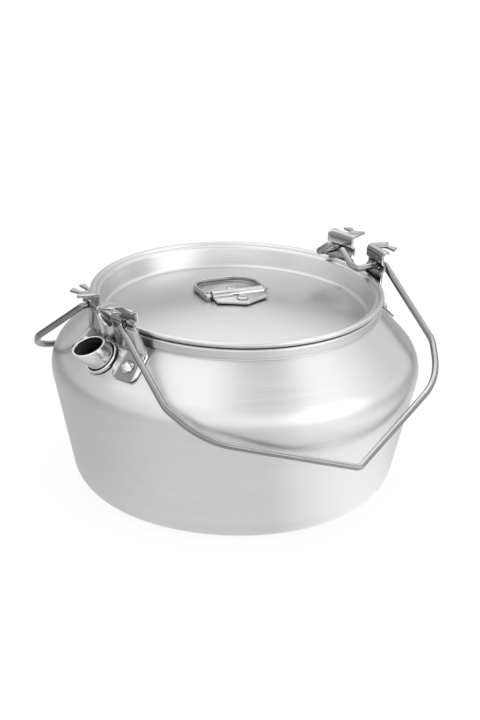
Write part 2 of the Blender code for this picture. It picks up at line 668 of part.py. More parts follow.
def hook_plan(side):
    """Outline of one flange tab seen from above: two prongs and the slot for the upright leg."""
    slot = BAIL_WIRE / 2 + PIVOT_RUNNING
    leg = BAIL_HALF_WIDTH + BAIL_SPLAY * (FLANGE_TOP - PIVOT_HEIGHT) / BAIL_SHOULDER
    back = WEB_RADIUS - 8 * BRACKET_SHEET
    corners = [
        (back, TAB_INNER - BRACKET_SHEET / 2, 0),
        (WEB_RADIUS, TAB_INNER - BRACKET_SHEET / 2, 0),
        (*HOOK_TIP_INNER, HOOK_TIP_ROUND),
        (*HOOK_NOTCH, HOOK_TIP_ROUND),
        (*HOOK_TIP_OUTER, HOOK_TIP_ROUND),
        (leg + slot, HOOK_END, HOOK_SLOT_ROUND),
        (leg + slot, PIVOT_OFFSET - slot, slot * 0.99),
        (leg - slot, PIVOT_OFFSET - slot, slot * 0.99),
        (leg - slot, TAB_OUTER + BRACKET_SHEET, 0),
        (back, TAB_OUTER + BRACKET_SHEET, 0),
    ]
    return [(point.x, side * point.y) for point in rounded_path(corners, closed=True)]


def flange_trim(cutters):
    """Block over the flange with the two tabs' outlines taken out of it."""
    lowest = (FLANGE_HEIGHT + PIVOT_HEIGHT + BARREL_HALF) / 2
    low = (WEB_RADIUS - 6 * BRACKET_SHEET, -TOE_HALF_WIDTH, lowest)
    high = (HOOK_TIP_INNER[0] + 6 * BRACKET_SHEET, TOE_HALF_WIDTH, FLANGE_TOP + 3 * BRACKET_SHEET)
    block = cutter("flange_trim", box_mesh("flange_trim", low, high), Matrix(), cutters)
    for name, side in (("tab_front", -1), ("tab_back", 1)):
        plan = outline_mesh(name, hook_plan(side), 30 * BRACKET_SHEET)
        place = Matrix.Translation((0, 0, FLANGE_TOP))
        combine(block, cutter(name, plan, place, cutters), "DIFFERENCE")
    return block


def bracket_mesh(parts, cutters):
    """The sheet as a sector of a turned section, trimmed to its outline, at +X."""
    sweep = 1.15 * math.asin(TOE_HALF_WIDTH / (WEB_RADIUS - BRACKET_SHEET))
    cos, sin = math.cos(-sweep), math.sin(-sweep)
    points = [(point.x * cos, point.x * sin, point.y) for point in bracket_section()]
    blank = add_object("bracket_blank", wire_mesh("bracket_blank", points), None, parts)
    screw = blank.modifiers.new("turn", "SCREW")
    screw.angle = 2 * sweep
    screw.steps = BRACKET_STEPS
    screw.render_steps = BRACKET_STEPS
    sheet = blank.modifiers.new("sheet", "SOLIDIFY")
    sheet.thickness = BRACKET_SHEET
    sheet.offset = -1
    sheet.use_even_offset = True
    front = outline_mesh("bracket_outline", bracket_front(), 2 * HOOK_TIP_INNER[0])
    facing = Matrix(((0, 0, 1, 0), (1, 0, 0, 0), (0, 1, 0, 0), (0, 0, 0, 1)))
    place = Matrix.Translation((HOOK_TIP_INNER[0], 0, 0)) @ facing
    combine(blank, cutter("bracket_outline", front, place, cutters), "INTERSECT")
    combine(blank, flange_trim(cutters), "DIFFERENCE")
    along_x = Matrix.Rotation(math.pi / 2, 4, "Y")
    for name, side in (("pivot_front", -1), ("pivot_back", 1)):
        hole = cylinder_mesh(name, BAIL_WIRE / 2 + PIVOT_RUNNING, 4 * BARREL_ROUND, SMALL_STEPS)
        place = Matrix.Translation((WEB_RADIUS, side * PIVOT_OFFSET, PIVOT_HEIGHT)) @ along_x
        combine(blank, cutter(name, hole, place, cutters), "DIFFERENCE")
    for name, azimuth in foot_rivets()[2:]:
        hole = cylinder_mesh(name + "_foot", FOOT_RIVET_SHANK + GAP, 6 * BRACKET_SHEET, RIVET_STEPS)
        place = shoulder_frame(foot_rivet_radius(), azimuth)
        combine(blank, cutter(name + "_foot_hole", hole, place, cutters), "DIFFERENCE")
    evaluated = blank.evaluated_get(bpy.context.evaluated_depsgraph_get())
    mesh = bpy.data.meshes.new_from_object(evaluated)
    mesh.name = "bail_bracket"
    bpy.data.objects.remove(blank)
    return mesh


def make_brackets(finish, parts, cutters):
    mesh = bracket_mesh(parts, cutters)
    add_object("far_bracket", mesh, finish, parts)
    near = bpy.data.objects.new("spout_bracket", mesh)
    near.matrix_world = Matrix.Rotation(math.pi, 4, "Z")
    parts.objects.link(near)


def bail_path():
    """The bail in its own plane from tail to near end: place along X, distance from the pivots."""
    right = [
        (TAIL_PLACE, -TAIL_LENGTH, 0),
        (TAIL_PLACE, 0, TAIL_BEND),
        (BAIL_HALF_WIDTH, 0, BAIL_ELBOW),
        (BAIL_HALF_WIDTH + BAIL_SPLAY, BAIL_SHOULDER, BAIL_SHOULDER_ROUND),
        (*BAIL_CORNER, BAIL_CORNER_ROUND),
    ]
    left = [(-x, reach, radius) for x, reach, radius in right[:1:-1]]
    return rounded_path(right + [(0, BAIL_PEAK, BAIL_PEAK_ROUND)] + left + [(-BAIL_END, 0, 0)])


def bail_mesh():
    """Wire with a rounded tail, its pivot line on X and its loop towards -Y."""
    path = bail_path()
    half = BAIL_WIRE / 2
    tip = [Vector((path[0].x, path[0].y + half * (1 - math.cos(angle))))
           for angle in (math.radians(turn) for turn in (0, 30, 60, 90))]
    widths = [max(math.sin(math.radians(turn)), 0.2) for turn in (0, 30, 60, 90)]
    points = tip + path[1:]
    widths += [1.0] * (len(path) - 1)
    return tube_mesh("bail", [(point.x, -point.y, 0) for point in points], half, widths=widths)


def make_bails(finish, parts):
    mesh = bail_mesh()
    mesh.materials.append(finish)
    for name, side, turn in (("front_bail", -1, BAIL_HANG), ("back_bail", 1, math.pi - BAIL_HANG)):
        bail = bpy.data.objects.new(name, mesh)
        place = Matrix.Translation((0, side * PIVOT_OFFSET, PIVOT_HEIGHT))
        bail.matrix_world = place @ Matrix.Rotation(turn, 4, "X")
        parts.objects.link(bail)


def main():
    for old in list(bpy.data.objects):
        bpy.data.objects.remove(old)
    parts = bpy.data.collections.new("camping_kettle")
    cutters = bpy.data.collections.new("cutters")
    for collection in (parts, cutters):
        bpy.context.scene.collection.children.link(collection)
    spun = material("brushed_aluminium", (0.80, 0.80, 0.81), 0.34)
    lid_finish = material("lid_aluminium", (0.78, 0.78, 0.79), 0.32)
    steel = material("polished_steel", (0.62, 0.61, 0.60), 0.16)
    wire = material("wire_steel", (0.66, 0.65, 0.64), 0.14)
    rivet = material("rivet_aluminium", (0.82, 0.82, 0.83), 0.25)
    make_body(spun, parts, cutters)
    make_lid(lid_finish, parts, cutters)
    make_clip(steel, parts, cutters)
    make_ring(wire, parts)
    make_clip_rivets(rivet, parts)
    make_spout(steel, parts, cutters)
    make_brackets(steel, parts, cutters)
    make_foot_rivets(rivet, parts)
    make_bails(wire, parts)


main()
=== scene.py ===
"""Looks of the camping kettle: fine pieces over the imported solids, materials, camera and light."""
import json
import math

import bmesh
import bpy
from mathutils import Matrix, Vector

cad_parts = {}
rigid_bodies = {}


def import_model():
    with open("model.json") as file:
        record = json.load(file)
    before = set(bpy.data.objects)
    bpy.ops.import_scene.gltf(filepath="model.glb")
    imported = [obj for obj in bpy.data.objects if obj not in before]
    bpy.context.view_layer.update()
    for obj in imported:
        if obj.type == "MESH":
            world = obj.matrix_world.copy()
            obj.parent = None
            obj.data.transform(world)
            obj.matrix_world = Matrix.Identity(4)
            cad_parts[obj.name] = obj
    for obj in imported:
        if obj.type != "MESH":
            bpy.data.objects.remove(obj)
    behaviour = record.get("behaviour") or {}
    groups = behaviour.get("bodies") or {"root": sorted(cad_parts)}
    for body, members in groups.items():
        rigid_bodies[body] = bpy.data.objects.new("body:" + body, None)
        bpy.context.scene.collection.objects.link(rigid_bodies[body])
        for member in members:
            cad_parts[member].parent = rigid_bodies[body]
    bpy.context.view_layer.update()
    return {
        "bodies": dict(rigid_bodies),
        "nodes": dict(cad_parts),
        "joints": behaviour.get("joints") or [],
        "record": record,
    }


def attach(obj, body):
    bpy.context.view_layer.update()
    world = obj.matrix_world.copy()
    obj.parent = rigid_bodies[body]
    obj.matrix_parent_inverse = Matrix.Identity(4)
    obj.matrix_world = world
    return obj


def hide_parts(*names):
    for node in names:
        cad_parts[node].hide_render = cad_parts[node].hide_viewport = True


MM = 0.001

# Sizes of the solids, as in the part's source

# Air between pieces that touch on the real kettle
GAP = 0.3 * MM

# Kettle body, a spun shell
SHELL = 1.2 * MM
FOOT_RADIUS = 67.2 * MM
FOOT_ROUND = 15.5 * MM
SIDE_LEAN = math.radians(13.2)
SHOULDER_HEIGHT = 60.8 * MM
SHOULDER_ROUND = 15.0 * MM
SHOULDER_SLOPE = math.radians(46.6)
SHOULDER_INSET = 19.66 * MM
NECK_ROUND = 0.5 * MM
NECK_GROOVE = 0.7 * MM
RIM_BEAD_WIDTH = 2.3 * MM
RIM_BEAD_HEIGHT = 4.8 * MM
RIM_BEAD_ROUND = 1.12 * MM
RIM_BEAD_LOWER_ROUND = 0.6 * MM

# Lid, a spun dish with a rolled edge and a domed floor
LID_SHEET = 0.9 * MM
LID_WALL_CLEARANCE = 0.4 * MM
LID_DEPTH = 9.6 * MM
LID_WALL_DRAFT = 1.8 * MM
LID_DOME_RISE = 7.6 * MM
LID_ROLL_RADIUS = 1.25 * MM
LID_ROLL_OVERHANG = 1.9 * MM
LID_FLANGE_DROP = 1.0 * MM
LID_BEND = 1.6 * MM
LID_TURN = math.radians(-13.6)

# Clip and ring on the lid
CLIP_SHEET = 0.9 * MM
CLIP_END_GAP = 0.2 * MM
CLIP_SHOULDER = 6.4 * MM
CLIP_POINT_RISE = 5.9 * MM
CLIP_POINT_ROUND = 3.0 * MM
CLIP_CORNER_ROUND = 0.8 * MM
RING_WIRE = 2.0 * MM
RING_HALF_WIDTH = 14.0 * MM
RING_REACH = 21.5 * MM
RING_CORNER = 9.5 * MM
RING_HEEL = 1.9 * MM
CLIP_RIVET_MARGIN = 1.2 * MM
CLIP_RIVET_HEAD = 2.7 * MM
CLIP_RIVET_SHANK = 1.4 * MM

# Spout, a short tube square to the shoulder, its root outside the neck by SPOUT_STEP
# and its mouth cut aslant by SPOUT_CUT, which brings it nearer to level
SPOUT_RADIUS = 6.7 * MM
SPOUT_WALL = 0.9 * MM
SPOUT_STEP = 8.0 * MM
SPOUT_REACH = 10.0 * MM
SPOUT_CUT = math.radians(25)
SPOUT_LIP = 1.2 * MM
SPOUT_LIP_THICK = 0.9 * MM
COLLAR_WIDTH = 1.1 * MM
COLLAR_HEIGHT = 1.3 * MM

# Bail pivots, above the rim and to each side of the bracket's middle
PIVOT_RISE = 5.4 * MM
PIVOT_OFFSET = 13.5 * MM
PIVOT_RUNNING = 0.35 * MM

# Bail brackets, one sheet each: flange with hooks, web, barrel and riveted foot
BRACKET_SHEET = 0.9 * MM
WEB_STEP = 6.7 * MM
WEB_BEND = 1.4 * MM
BARREL_BULGE = 1.3 * MM
BARREL_ROUND = 2.8 * MM
FLANGE_RISE = 6.2 * MM
TAB_INSET = 8.2 * MM
TAB_OUTSET = 5.8 * MM
SADDLE_DEPTH = 11.7 * MM
CREASE_DROP = 2.4 * MM
CREASE_ROUND = 0.8 * MM
CREASE_FLARE = 2.1 * MM
ARCH_CLEARANCE = 1.3 * MM
TOE_STEP = 3.0 * MM
TOE_FLARE = 7.4 * MM
TOE_MARGIN = 3.65 * MM
TOE_ROUND = 1.6 * MM
TOE_INNER_ROUND = 3.0 * MM
HOOK_INNER_REACH = 9.2 * MM
HOOK_INNER_SIDE = 2.8 * MM
HOOK_NOTCH_REACH = 5.4 * MM
HOOK_NOTCH_SIDE = 1.9 * MM
HOOK_OUTER_REACH = 7.4 * MM
HOOK_OUTER_SIDE = 2.5 * MM
HOOK_TIP_ROUND = 0.7 * MM
HOOK_END_INSET = 1.2 * MM
HOOK_SLOT_ROUND = 0.3 * MM
FOOT_RIVET_HEAD = 3.0 * MM
FOOT_RIVET_SHANK = 1.6 * MM
FOOT_RIVET_INSET = 4.0 * MM
FOOT_RIVET_STEP = 7.6 * MM

# Bails, two alike, bent from round wire
BAIL_WIRE = 3.0 * MM
BAIL_CLEARANCE = 0.34 * MM
BAIL_SPLAY = 0.5 * MM
BAIL_STANDOFF = 6.47 * MM
BAIL_INSET = 8.3 * MM
BAIL_SLANT = 19.0 * MM
BAIL_POINT = 30.0 * MM
BAIL_ELBOW = 2.0 * MM
BAIL_SHOULDER_ROUND = 12.0 * MM
BAIL_CORNER_ROUND = 35.0 * MM
BAIL_PEAK_ROUND = 4.0 * MM
BAIL_HANG = math.radians(36.0)
BAIL_LID_GAP = 0.7 * MM
TAIL_BEND = 3.5 * MM
TAIL_WALL_GAP = 0.3 * MM
TAIL_FLOOR_GAP = 0.5 * MM

# The body's shoulder corner, neck and rim worked out from the sizes above
CORNER_RADIUS = FOOT_RADIUS + math.tan(SIDE_LEAN) * SHOULDER_HEIGHT
NECK_RADIUS = CORNER_RADIUS - SHOULDER_INSET
NECK_HEIGHT = SHOULDER_HEIGHT + math.tan(SHOULDER_SLOPE) * SHOULDER_INSET
RIM_HEIGHT = NECK_HEIGHT + NECK_GROOVE + RIM_BEAD_HEIGHT
RIM_INNER = NECK_RADIUS - SHELL
RIM_OUTER = RIM_INNER + RIM_BEAD_WIDTH
SHOULDER_NORMAL = math.pi / 2 - SHOULDER_SLOPE

# The lid's roll sits on the rim's round top
LID_ROLL_CENTRE = RIM_INNER + LID_ROLL_OVERHANG
LID_OUTER = LID_ROLL_CENTRE + LID_ROLL_RADIUS
ROLL_OFFSET = LID_ROLL_CENTRE - (RIM_OUTER - RIM_BEAD_ROUND)
ROLL_REACH = LID_ROLL_RADIUS + RIM_BEAD_ROUND + GAP
LID_ROLL_HEIGHT = RIM_HEIGHT - RIM_BEAD_ROUND + math.sqrt(ROLL_REACH ** 2 - ROLL_OFFSET ** 2)
LID_TOP = LID_ROLL_HEIGHT + LID_ROLL_RADIUS
LID_FLANGE = LID_TOP - LID_FLANGE_DROP
LID_WALL_RADIUS = RIM_INNER - LID_WALL_CLEARANCE - LID_SHEET
LID_FLOOR_RADIUS = LID_WALL_RADIUS - LID_WALL_DRAFT
LID_FLOOR = LID_FLANGE - LID_DEPTH
LID_CROWN = LID_FLOOR + LID_DOME_RISE

# Clip and ring heights above the lid, and the clip's outline around them
RING_AXIS_HEIGHT = LID_CROWN + GAP + RING_WIRE / 2
CLIP_BARREL_INNER = RING_WIRE / 2 + GAP
CLIP_TOP = LID_CROWN + GAP + CLIP_SHEET
CLIP_HALF_WIDTH = RING_HALF_WIDTH - RING_HEEL - CLIP_END_GAP
CLIP_POINT = CLIP_SHOULDER + CLIP_POINT_RISE
CLIP_RIVET_PLACE = CLIP_BARREL_INNER + CLIP_SHEET + CLIP_RIVET_MARGIN + CLIP_RIVET_HEAD

# The bracket's flange and web, around the pivots and outside the neck
PIVOT_HEIGHT = RIM_HEIGHT + PIVOT_RISE
WEB_RADIUS = NECK_RADIUS + WEB_STEP
BARREL_HALF = math.sqrt(BARREL_ROUND ** 2 - (BARREL_ROUND - BARREL_BULGE) ** 2)
FLANGE_HEIGHT = PIVOT_HEIGHT + FLANGE_RISE
FLANGE_TOP = FLANGE_HEIGHT + BRACKET_SHEET
TAB_INNER = PIVOT_OFFSET - TAB_INSET
TAB_OUTER = PIVOT_OFFSET + TAB_OUTSET
HOOK_TIP_INNER = (WEB_RADIUS + HOOK_INNER_REACH, TAB_INNER + HOOK_INNER_SIDE)
HOOK_NOTCH = (WEB_RADIUS + HOOK_NOTCH_REACH, PIVOT_OFFSET - HOOK_NOTCH_SIDE)
HOOK_TIP_OUTER = (WEB_RADIUS + HOOK_OUTER_REACH, PIVOT_OFFSET + HOOK_OUTER_SIDE)
HOOK_END = TAB_OUTER - HOOK_END_INSET

# The bracket's foot lies on the shoulder and arches over the spout's collar
SPOUT_PLACE = NECK_RADIUS + SPOUT_STEP
ARCH_RADIUS = SPOUT_RADIUS + GAP + COLLAR_WIDTH + ARCH_CLEARANCE
ARCH_RISE = (ARCH_RADIUS * math.cos(SHOULDER_NORMAL)
             + (GAP + COLLAR_HEIGHT) * math.sin(SHOULDER_NORMAL))
SADDLE_HEIGHT = FLANGE_HEIGHT - SADDLE_DEPTH
CREASE_HEIGHT = NECK_HEIGHT - CREASE_DROP
CREASE_HALF_WIDTH = TAB_OUTER + CREASE_FLARE
TOE_INNER = ARCH_RADIUS + TOE_STEP
FOOT_RIVET_PLACE = TOE_INNER + FOOT_RIVET_INSET
TOE_HALF_WIDTH = FOOT_RIVET_PLACE + TOE_FLARE
TOE_HEIGHT = NECK_HEIGHT - FOOT_RIVET_STEP * math.tan(SHOULDER_SLOPE) - TOE_MARGIN

# The bail's legs swing past the barrel, and its near ends stop beside the lid's edge
BAIL_HALF_WIDTH = BAIL_CLEARANCE + BAIL_WIRE / 2 + math.sqrt(
    (WEB_RADIUS + BARREL_BULGE) ** 2 - (PIVOT_OFFSET - BAIL_WIRE / 2) ** 2)
BAIL_END = BAIL_LID_GAP + math.sqrt(LID_OUTER ** 2 - (PIVOT_OFFSET - BAIL_WIRE / 2) ** 2)

# The hanging bail's point stands outside the body's shoulder corner
BAIL_PEAK = (CORNER_RADIUS + BAIL_STANDOFF - PIVOT_OFFSET) / math.cos(BAIL_HANG)
BAIL_CORNER = (BAIL_HALF_WIDTH - BAIL_INSET, BAIL_PEAK - BAIL_POINT)
BAIL_SHOULDER = BAIL_CORNER[1] - BAIL_SLANT

# Each bail's far end passes over the lid's edge and turns back as a tail, which reaches down into
# the dish when the bail stands up, clear of the dish's wall and floor
TAIL_RADIUS = LID_FLOOR_RADIUS - TAIL_WALL_GAP - BAIL_WIRE / 2
TAIL_PLACE = math.sqrt(TAIL_RADIUS ** 2 - PIVOT_OFFSET ** 2)
TAIL_LENGTH = (PIVOT_HEIGHT - TAIL_FLOOR_GAP - LID_CROWN
               + LID_DOME_RISE * (TAIL_RADIUS / LID_FLOOR_RADIUS) ** 2)

# Camera of the photograph
VIEW_AZIMUTH = math.radians(-37.05)
VIEW_ELEVATION = math.radians(21.833)
VIEW_ROLL = math.radians(1.628)
VIEW_DISTANCE = 1158.16 * MM
VIEW_SIDE = 2.095 * MM
VIEW_HEIGHT = 56.988 * MM
LENS = 132.51
SENSOR = 36
NEAREST = 0.05
FURTHEST = 20

# Step of the picture's arcs, finer than the solids'
FINE = math.radians(5)

# Round edge of a wire's cut end, and how far the picture's wire stays inside the solid
WIRE_END_ROUND = 0.4 * MM
WIRE_INSET = 0.05 * MM

# How much lower than the solid the body's rim bead is drawn, for the dark line under the lid
RIM_GAP_SEEN = 0.4 * MM

# Height of a rivet's head as a share of its diameter, and the dimple in the clip's rivets
FOOT_RIVET_RISE = 0.45
CLIP_RIVET_RISE = 0.4
CLIP_RIVET_DIMPLE = 0.5 * MM


def rounded_path(corners, closed=False, turn_step=FINE):
    """Points through corners (a, b, radius), each corner replaced by an arc of its radius."""
    count = len(corners)
    points = []
    for index, (a, b, radius) in enumerate(corners):
        here = Vector((a, b))
        ends = index in (0, count - 1)
        if radius == 0 or (ends and not closed):
            points.append(here)
            continue
        before = (Vector(corners[index - 1][:2]) - here).normalized()
        after = (Vector(corners[(index + 1) % count][:2]) - here).normalized()
        opening = before.angle(after)
        turn = math.pi - opening
        if turn < 1e-6:
            points.append(here)
            continue
        middle = (before + after).normalized()
        centre = here + middle * radius / math.sin(opening / 2)
        start = here + before * radius / math.tan(opening / 2) - centre
        side = 1 if before.x * after.y - before.y * after.x < 0 else -1
        steps = max(2, math.ceil(turn / turn_step))
        for step in range(steps + 1):
            angle = side * turn * step / steps
            cos, sin = math.cos(angle), math.sin(angle)
            points.append(centre + Vector((start.x * cos - start.y * sin,
                                           start.x * sin + start.y * cos)))
    return points


def offset_path(path, distance):
    """The open path moved sideways by distance, to the left of its direction."""
    moved = []
    for index, point in enumerate(path):
        normals = []
        for first, second in ((index - 1, index), (index, index + 1)):
            if 0 <= first and second < len(path):
                along = (path[second] - path[first]).normalized()
                normals.append(Vector((-along.y, along.x)))
        mean = sum(normals, Vector((0, 0))).normalized()
        moved.append(point + mean * distance / mean.dot(normals[0]))
    return moved


def arc(centre, radius, start, end, steps):
    return [centre + radius * Vector((math.cos(start + (end - start) * step / steps),
                                      math.sin(start + (end - start) * step / steps)))
            for step in range(steps + 1)]


def add(name, mesh, finish):
    made = bpy.data.objects.new(name, mesh)
    mesh.materials.clear()
    if finish is not None:
        mesh.materials.append(finish)
    bpy.context.scene.collection.objects.link(made)
    return made


def smooth(mesh, angle=35):
    mesh.shade_smooth()
    mesh.set_sharp_from_angle(angle=math.radians(angle))


def mesh_of(name, shape):
    mesh = bpy.data.meshes.new(name)
    shape.to_mesh(mesh)
    shape.free()
    return mesh


def revolved(name, profile, steps, closed=False, sharp=35):
    """A surface of revolution about Z; points on the axis close it."""
    shape = bmesh.new()
    rings = []
    for point in profile:
        if point.x < 1e-7:
            rings.append([shape.verts.new((0, 0, point.y))])
            continue
        rings.append([shape.verts.new((point.x * math.cos(2 * math.pi * step / steps),
                                       point.x * math.sin(2 * math.pi * step / steps), point.y))
                      for step in range(steps)])
    pairs = list(zip(rings, rings[1:])) + ([(rings[-1], rings[0])] if closed else [])
    for upper, lower in pairs:
        for step in range(steps):
            after = (step + 1) % steps
            if len(upper) == 1 and len(lower) == 1:
                continue
            if len(upper) == 1:
                shape.faces.new((upper[0], lower[step], lower[after]))
            elif len(lower) == 1:
                shape.faces.new((upper[step], lower[0], upper[after]))
            else:
                shape.faces.new((upper[step], lower[step], lower[after], upper[after]))
    bmesh.ops.recalc_face_normals(shape, faces=shape.faces)
    mesh = mesh_of(name, shape)
    smooth(mesh, sharp)
    return mesh


def swept(name, points, radius, closed=False, widths=None, sides=24):
    """Round wire along points, with flat caps unless closed."""
    curve = bpy.data.curves.new(name, "CURVE")
    curve.dimensions = "3D"
    curve.bevel_depth = radius
    curve.bevel_resolution = sides // 4
    curve.use_fill_caps = not closed
    spline = curve.splines.new("POLY")
    spline.points.add(len(points) - 1)
    for index, place in enumerate(points):
        spline.points[index].co = (*place, 1)
        spline.points[index].radius = widths[index] if widths else 1.0
    spline.use_cyclic_u = closed
    return curve_mesh(name, curve)


def plate(name, outline, thickness):
    """A flat plate in XY, centred on z = 0, with the closed outline."""
    curve = bpy.data.curves.new(name, "CURVE")
    curve.dimensions = "2D"
    curve.fill_mode = "BOTH"
    curve.extrude = thickness / 2
    spline = curve.splines.new("POLY")
    spline.points.add(len(outline) - 1)
    for point, place in zip(spline.points, outline):
        point.co = (place[0], place[1], 0, 1)
    spline.use_cyclic_u = True
    return curve_mesh(name, curve)


def curve_mesh(name, curve):
    guide = bpy.data.objects.new(name + "_guide", curve)
    bpy.context.scene.collection.objects.link(guide)
    evaluated = guide.evaluated_get(bpy.context.evaluated_depsgraph_get())
    mesh = bpy.data.meshes.new_from_object(evaluated)
    bpy.data.objects.remove(guide)
    bpy.data.curves.remove(curve)
    shape = bmesh.new()
    shape.from_mesh(mesh)
    bmesh.ops.remove_doubles(shape, verts=shape.verts, dist=0.000001)
    bmesh.ops.recalc_face_normals(shape, faces=shape.faces)
    bpy.data.meshes.remove(mesh)
    mesh = mesh_of(name, shape)
    smooth(mesh)
    return mesh


def rod(radius, length, segments=48):
    shape = bmesh.new()
    bmesh.ops.create_cone(shape, cap_ends=True, segments=segments, radius1=radius,
                          radius2=radius, depth=length)
    return mesh_of("rod", shape)


def block(low, high):
    shape = bmesh.new()
    bmesh.ops.create_cube(shape, size=1)
    low, high = Vector(low), Vector(high)
    bmesh.ops.scale(shape, vec=high - low, verts=shape.verts)
    bmesh.ops.translate(shape, vec=(high + low) / 2, verts=shape.verts)
    return mesh_of("block", shape)


def cut(target, mesh, place, operation, tools):
    """Adds a Boolean whose operand is a throwaway object."""
    tool = add("tool", mesh, None)
    tool.matrix_world = place
    tool.hide_render = True
    tools.append(tool)
    step = target.modifiers.new("cut", "BOOLEAN")
    step.operation = operation
    step.solver = "EXACT"
    step.object = tool
    return tool


def settle(target, tools):
    """Applies the target's modifiers and removes the throwaway objects."""
    bpy.context.view_layer.update()
    evaluated = target.evaluated_get(bpy.context.evaluated_depsgraph_get())
    mesh = bpy.data.meshes.new_from_object(evaluated)
    target.modifiers.clear()
    target.data = mesh
    for tool in tools:
        bpy.data.objects.remove(tool)
    return mesh


def soften(mesh, width, segments=2, angle=32):
    """Rounds the sheet's sharp edges."""
    shape = bmesh.new()
    shape.from_mesh(mesh)
    bmesh.ops.remove_doubles(shape, verts=shape.verts, dist=0.00001)
    bmesh.ops.dissolve_limit(shape, angle_limit=math.radians(0.5), verts=shape.verts,
                             edges=shape.edges)
    sharp = [edge for edge in shape.edges
             if len(edge.link_faces) == 2 and edge.calc_face_angle() > math.radians(angle)]
    bmesh.ops.bevel(shape, geom=sharp, offset=width, segments=segments, profile=0.5,
                    affect="EDGES", clamp_overlap=True)
    bmesh.ops.triangulate(shape, faces=[face for face in shape.faces if len(face.verts) > 4])
    shape.to_mesh(mesh)
    shape.free()
    smooth(mesh, 50)


def shoulder_height(radius):
    return NECK_HEIGHT - (radius - NECK_RADIUS) * math.tan(SHOULDER_SLOPE)


def shoulder_frame(radius, azimuth, lift=0.0):
    """A frame on the shoulder with Z square to its surface and X up the slope."""
    outward = Vector((math.cos(azimuth), math.sin(azimuth), 0))
    normal = outward * math.cos(SHOULDER_NORMAL) + Vector((0, 0, math.sin(SHOULDER_NORMAL)))
    uphill = Vector((0, 0, math.cos(SHOULDER_NORMAL))) - outward * math.sin(SHOULDER_NORMAL)
    across = normal.cross(uphill)
    frame = Matrix((uphill, across, normal)).transposed().to_4x4()
    frame.translation = outward * radius + Vector((0, 0, shoulder_height(radius))) + normal * lift
    return frame


def lid_dome(radius):
    return LID_CROWN - LID_DOME_RISE * (radius / LID_FLOOR_RADIUS) ** 2


def lid_frame(along, back, height):
    return Matrix.Rotation(LID_TURN, 4, "Z") @ Matrix.Translation((along, back, height))


def shoulder_sag(reach):
    return reach ** 2 * math.cos(SHOULDER_NORMAL) / (2 * SPOUT_PLACE)


def body_piece(finish):
    outer = rounded_path([
        (NECK_RADIUS, NECK_HEIGHT + NECK_GROOVE, 0),
        (NECK_RADIUS, NECK_HEIGHT, NECK_ROUND),
        (CORNER_RADIUS, SHOULDER_HEIGHT, SHOULDER_ROUND),
        (FOOT_RADIUS, 0, FOOT_ROUND),
        (0, 0, 0),
    ])
    inner = offset_path(outer, -SHELL)
    inner[-1].x = 0
    inner[0].y = RIM_HEIGHT - RIM_BEAD_ROUND - RIM_GAP_SEEN
    bead = rounded_path([
        (RIM_INNER, RIM_HEIGHT - 2 * RIM_BEAD_ROUND - RIM_GAP_SEEN, 0),
        (RIM_INNER, RIM_HEIGHT - RIM_GAP_SEEN, RIM_BEAD_ROUND),
        (RIM_OUTER, RIM_HEIGHT - RIM_GAP_SEEN, RIM_BEAD_ROUND),
        (RIM_OUTER, RIM_HEIGHT - RIM_BEAD_HEIGHT, RIM_BEAD_LOWER_ROUND),
        (NECK_RADIUS, RIM_HEIGHT - RIM_BEAD_HEIGHT, 0),
    ], turn_step=math.radians(12))
    body = add("kettle_body_fine", revolved("body", inner[::-1] + bead[1:-1] + outer, 240), finish)
    tools = []
    cut(body, rod(SPOUT_RADIUS + GAP, 8 * SHELL), shoulder_frame(SPOUT_PLACE, math.pi),
        "DIFFERENCE", tools)
    smooth(settle(body, tools))
    return body


def lid_piece(finish):
    centre = Vector((LID_ROLL_CENTRE, LID_ROLL_HEIGHT))
    dome = [Vector((LID_FLOOR_RADIUS * step / 24, lid_dome(LID_FLOOR_RADIUS * step / 24)))
            for step in range(24)]
    upper = rounded_path([
        (dome[-1].x, dome[-1].y, 0),
        (LID_FLOOR_RADIUS, LID_FLOOR, LID_BEND),
        (LID_WALL_RADIUS, LID_FLANGE, LID_BEND),
        (LID_ROLL_CENTRE, LID_FLANGE, 0),
    ], turn_step=math.radians(8))
    top = dome + upper[1:-1]
    under = offset_path(top, -LID_SHEET)
    under[0].x = 0
    high = math.asin((LID_FLANGE - LID_ROLL_HEIGHT) / LID_ROLL_RADIUS)
    low = math.asin((LID_FLANGE - LID_SHEET - LID_ROLL_HEIGHT) / LID_ROLL_RADIUS)
    roll = arc(centre, LID_ROLL_RADIUS, math.pi - high, -math.pi - low, 28)
    return add("lid_fine", revolved("lid", top + roll + under[::-1], 240), finish)


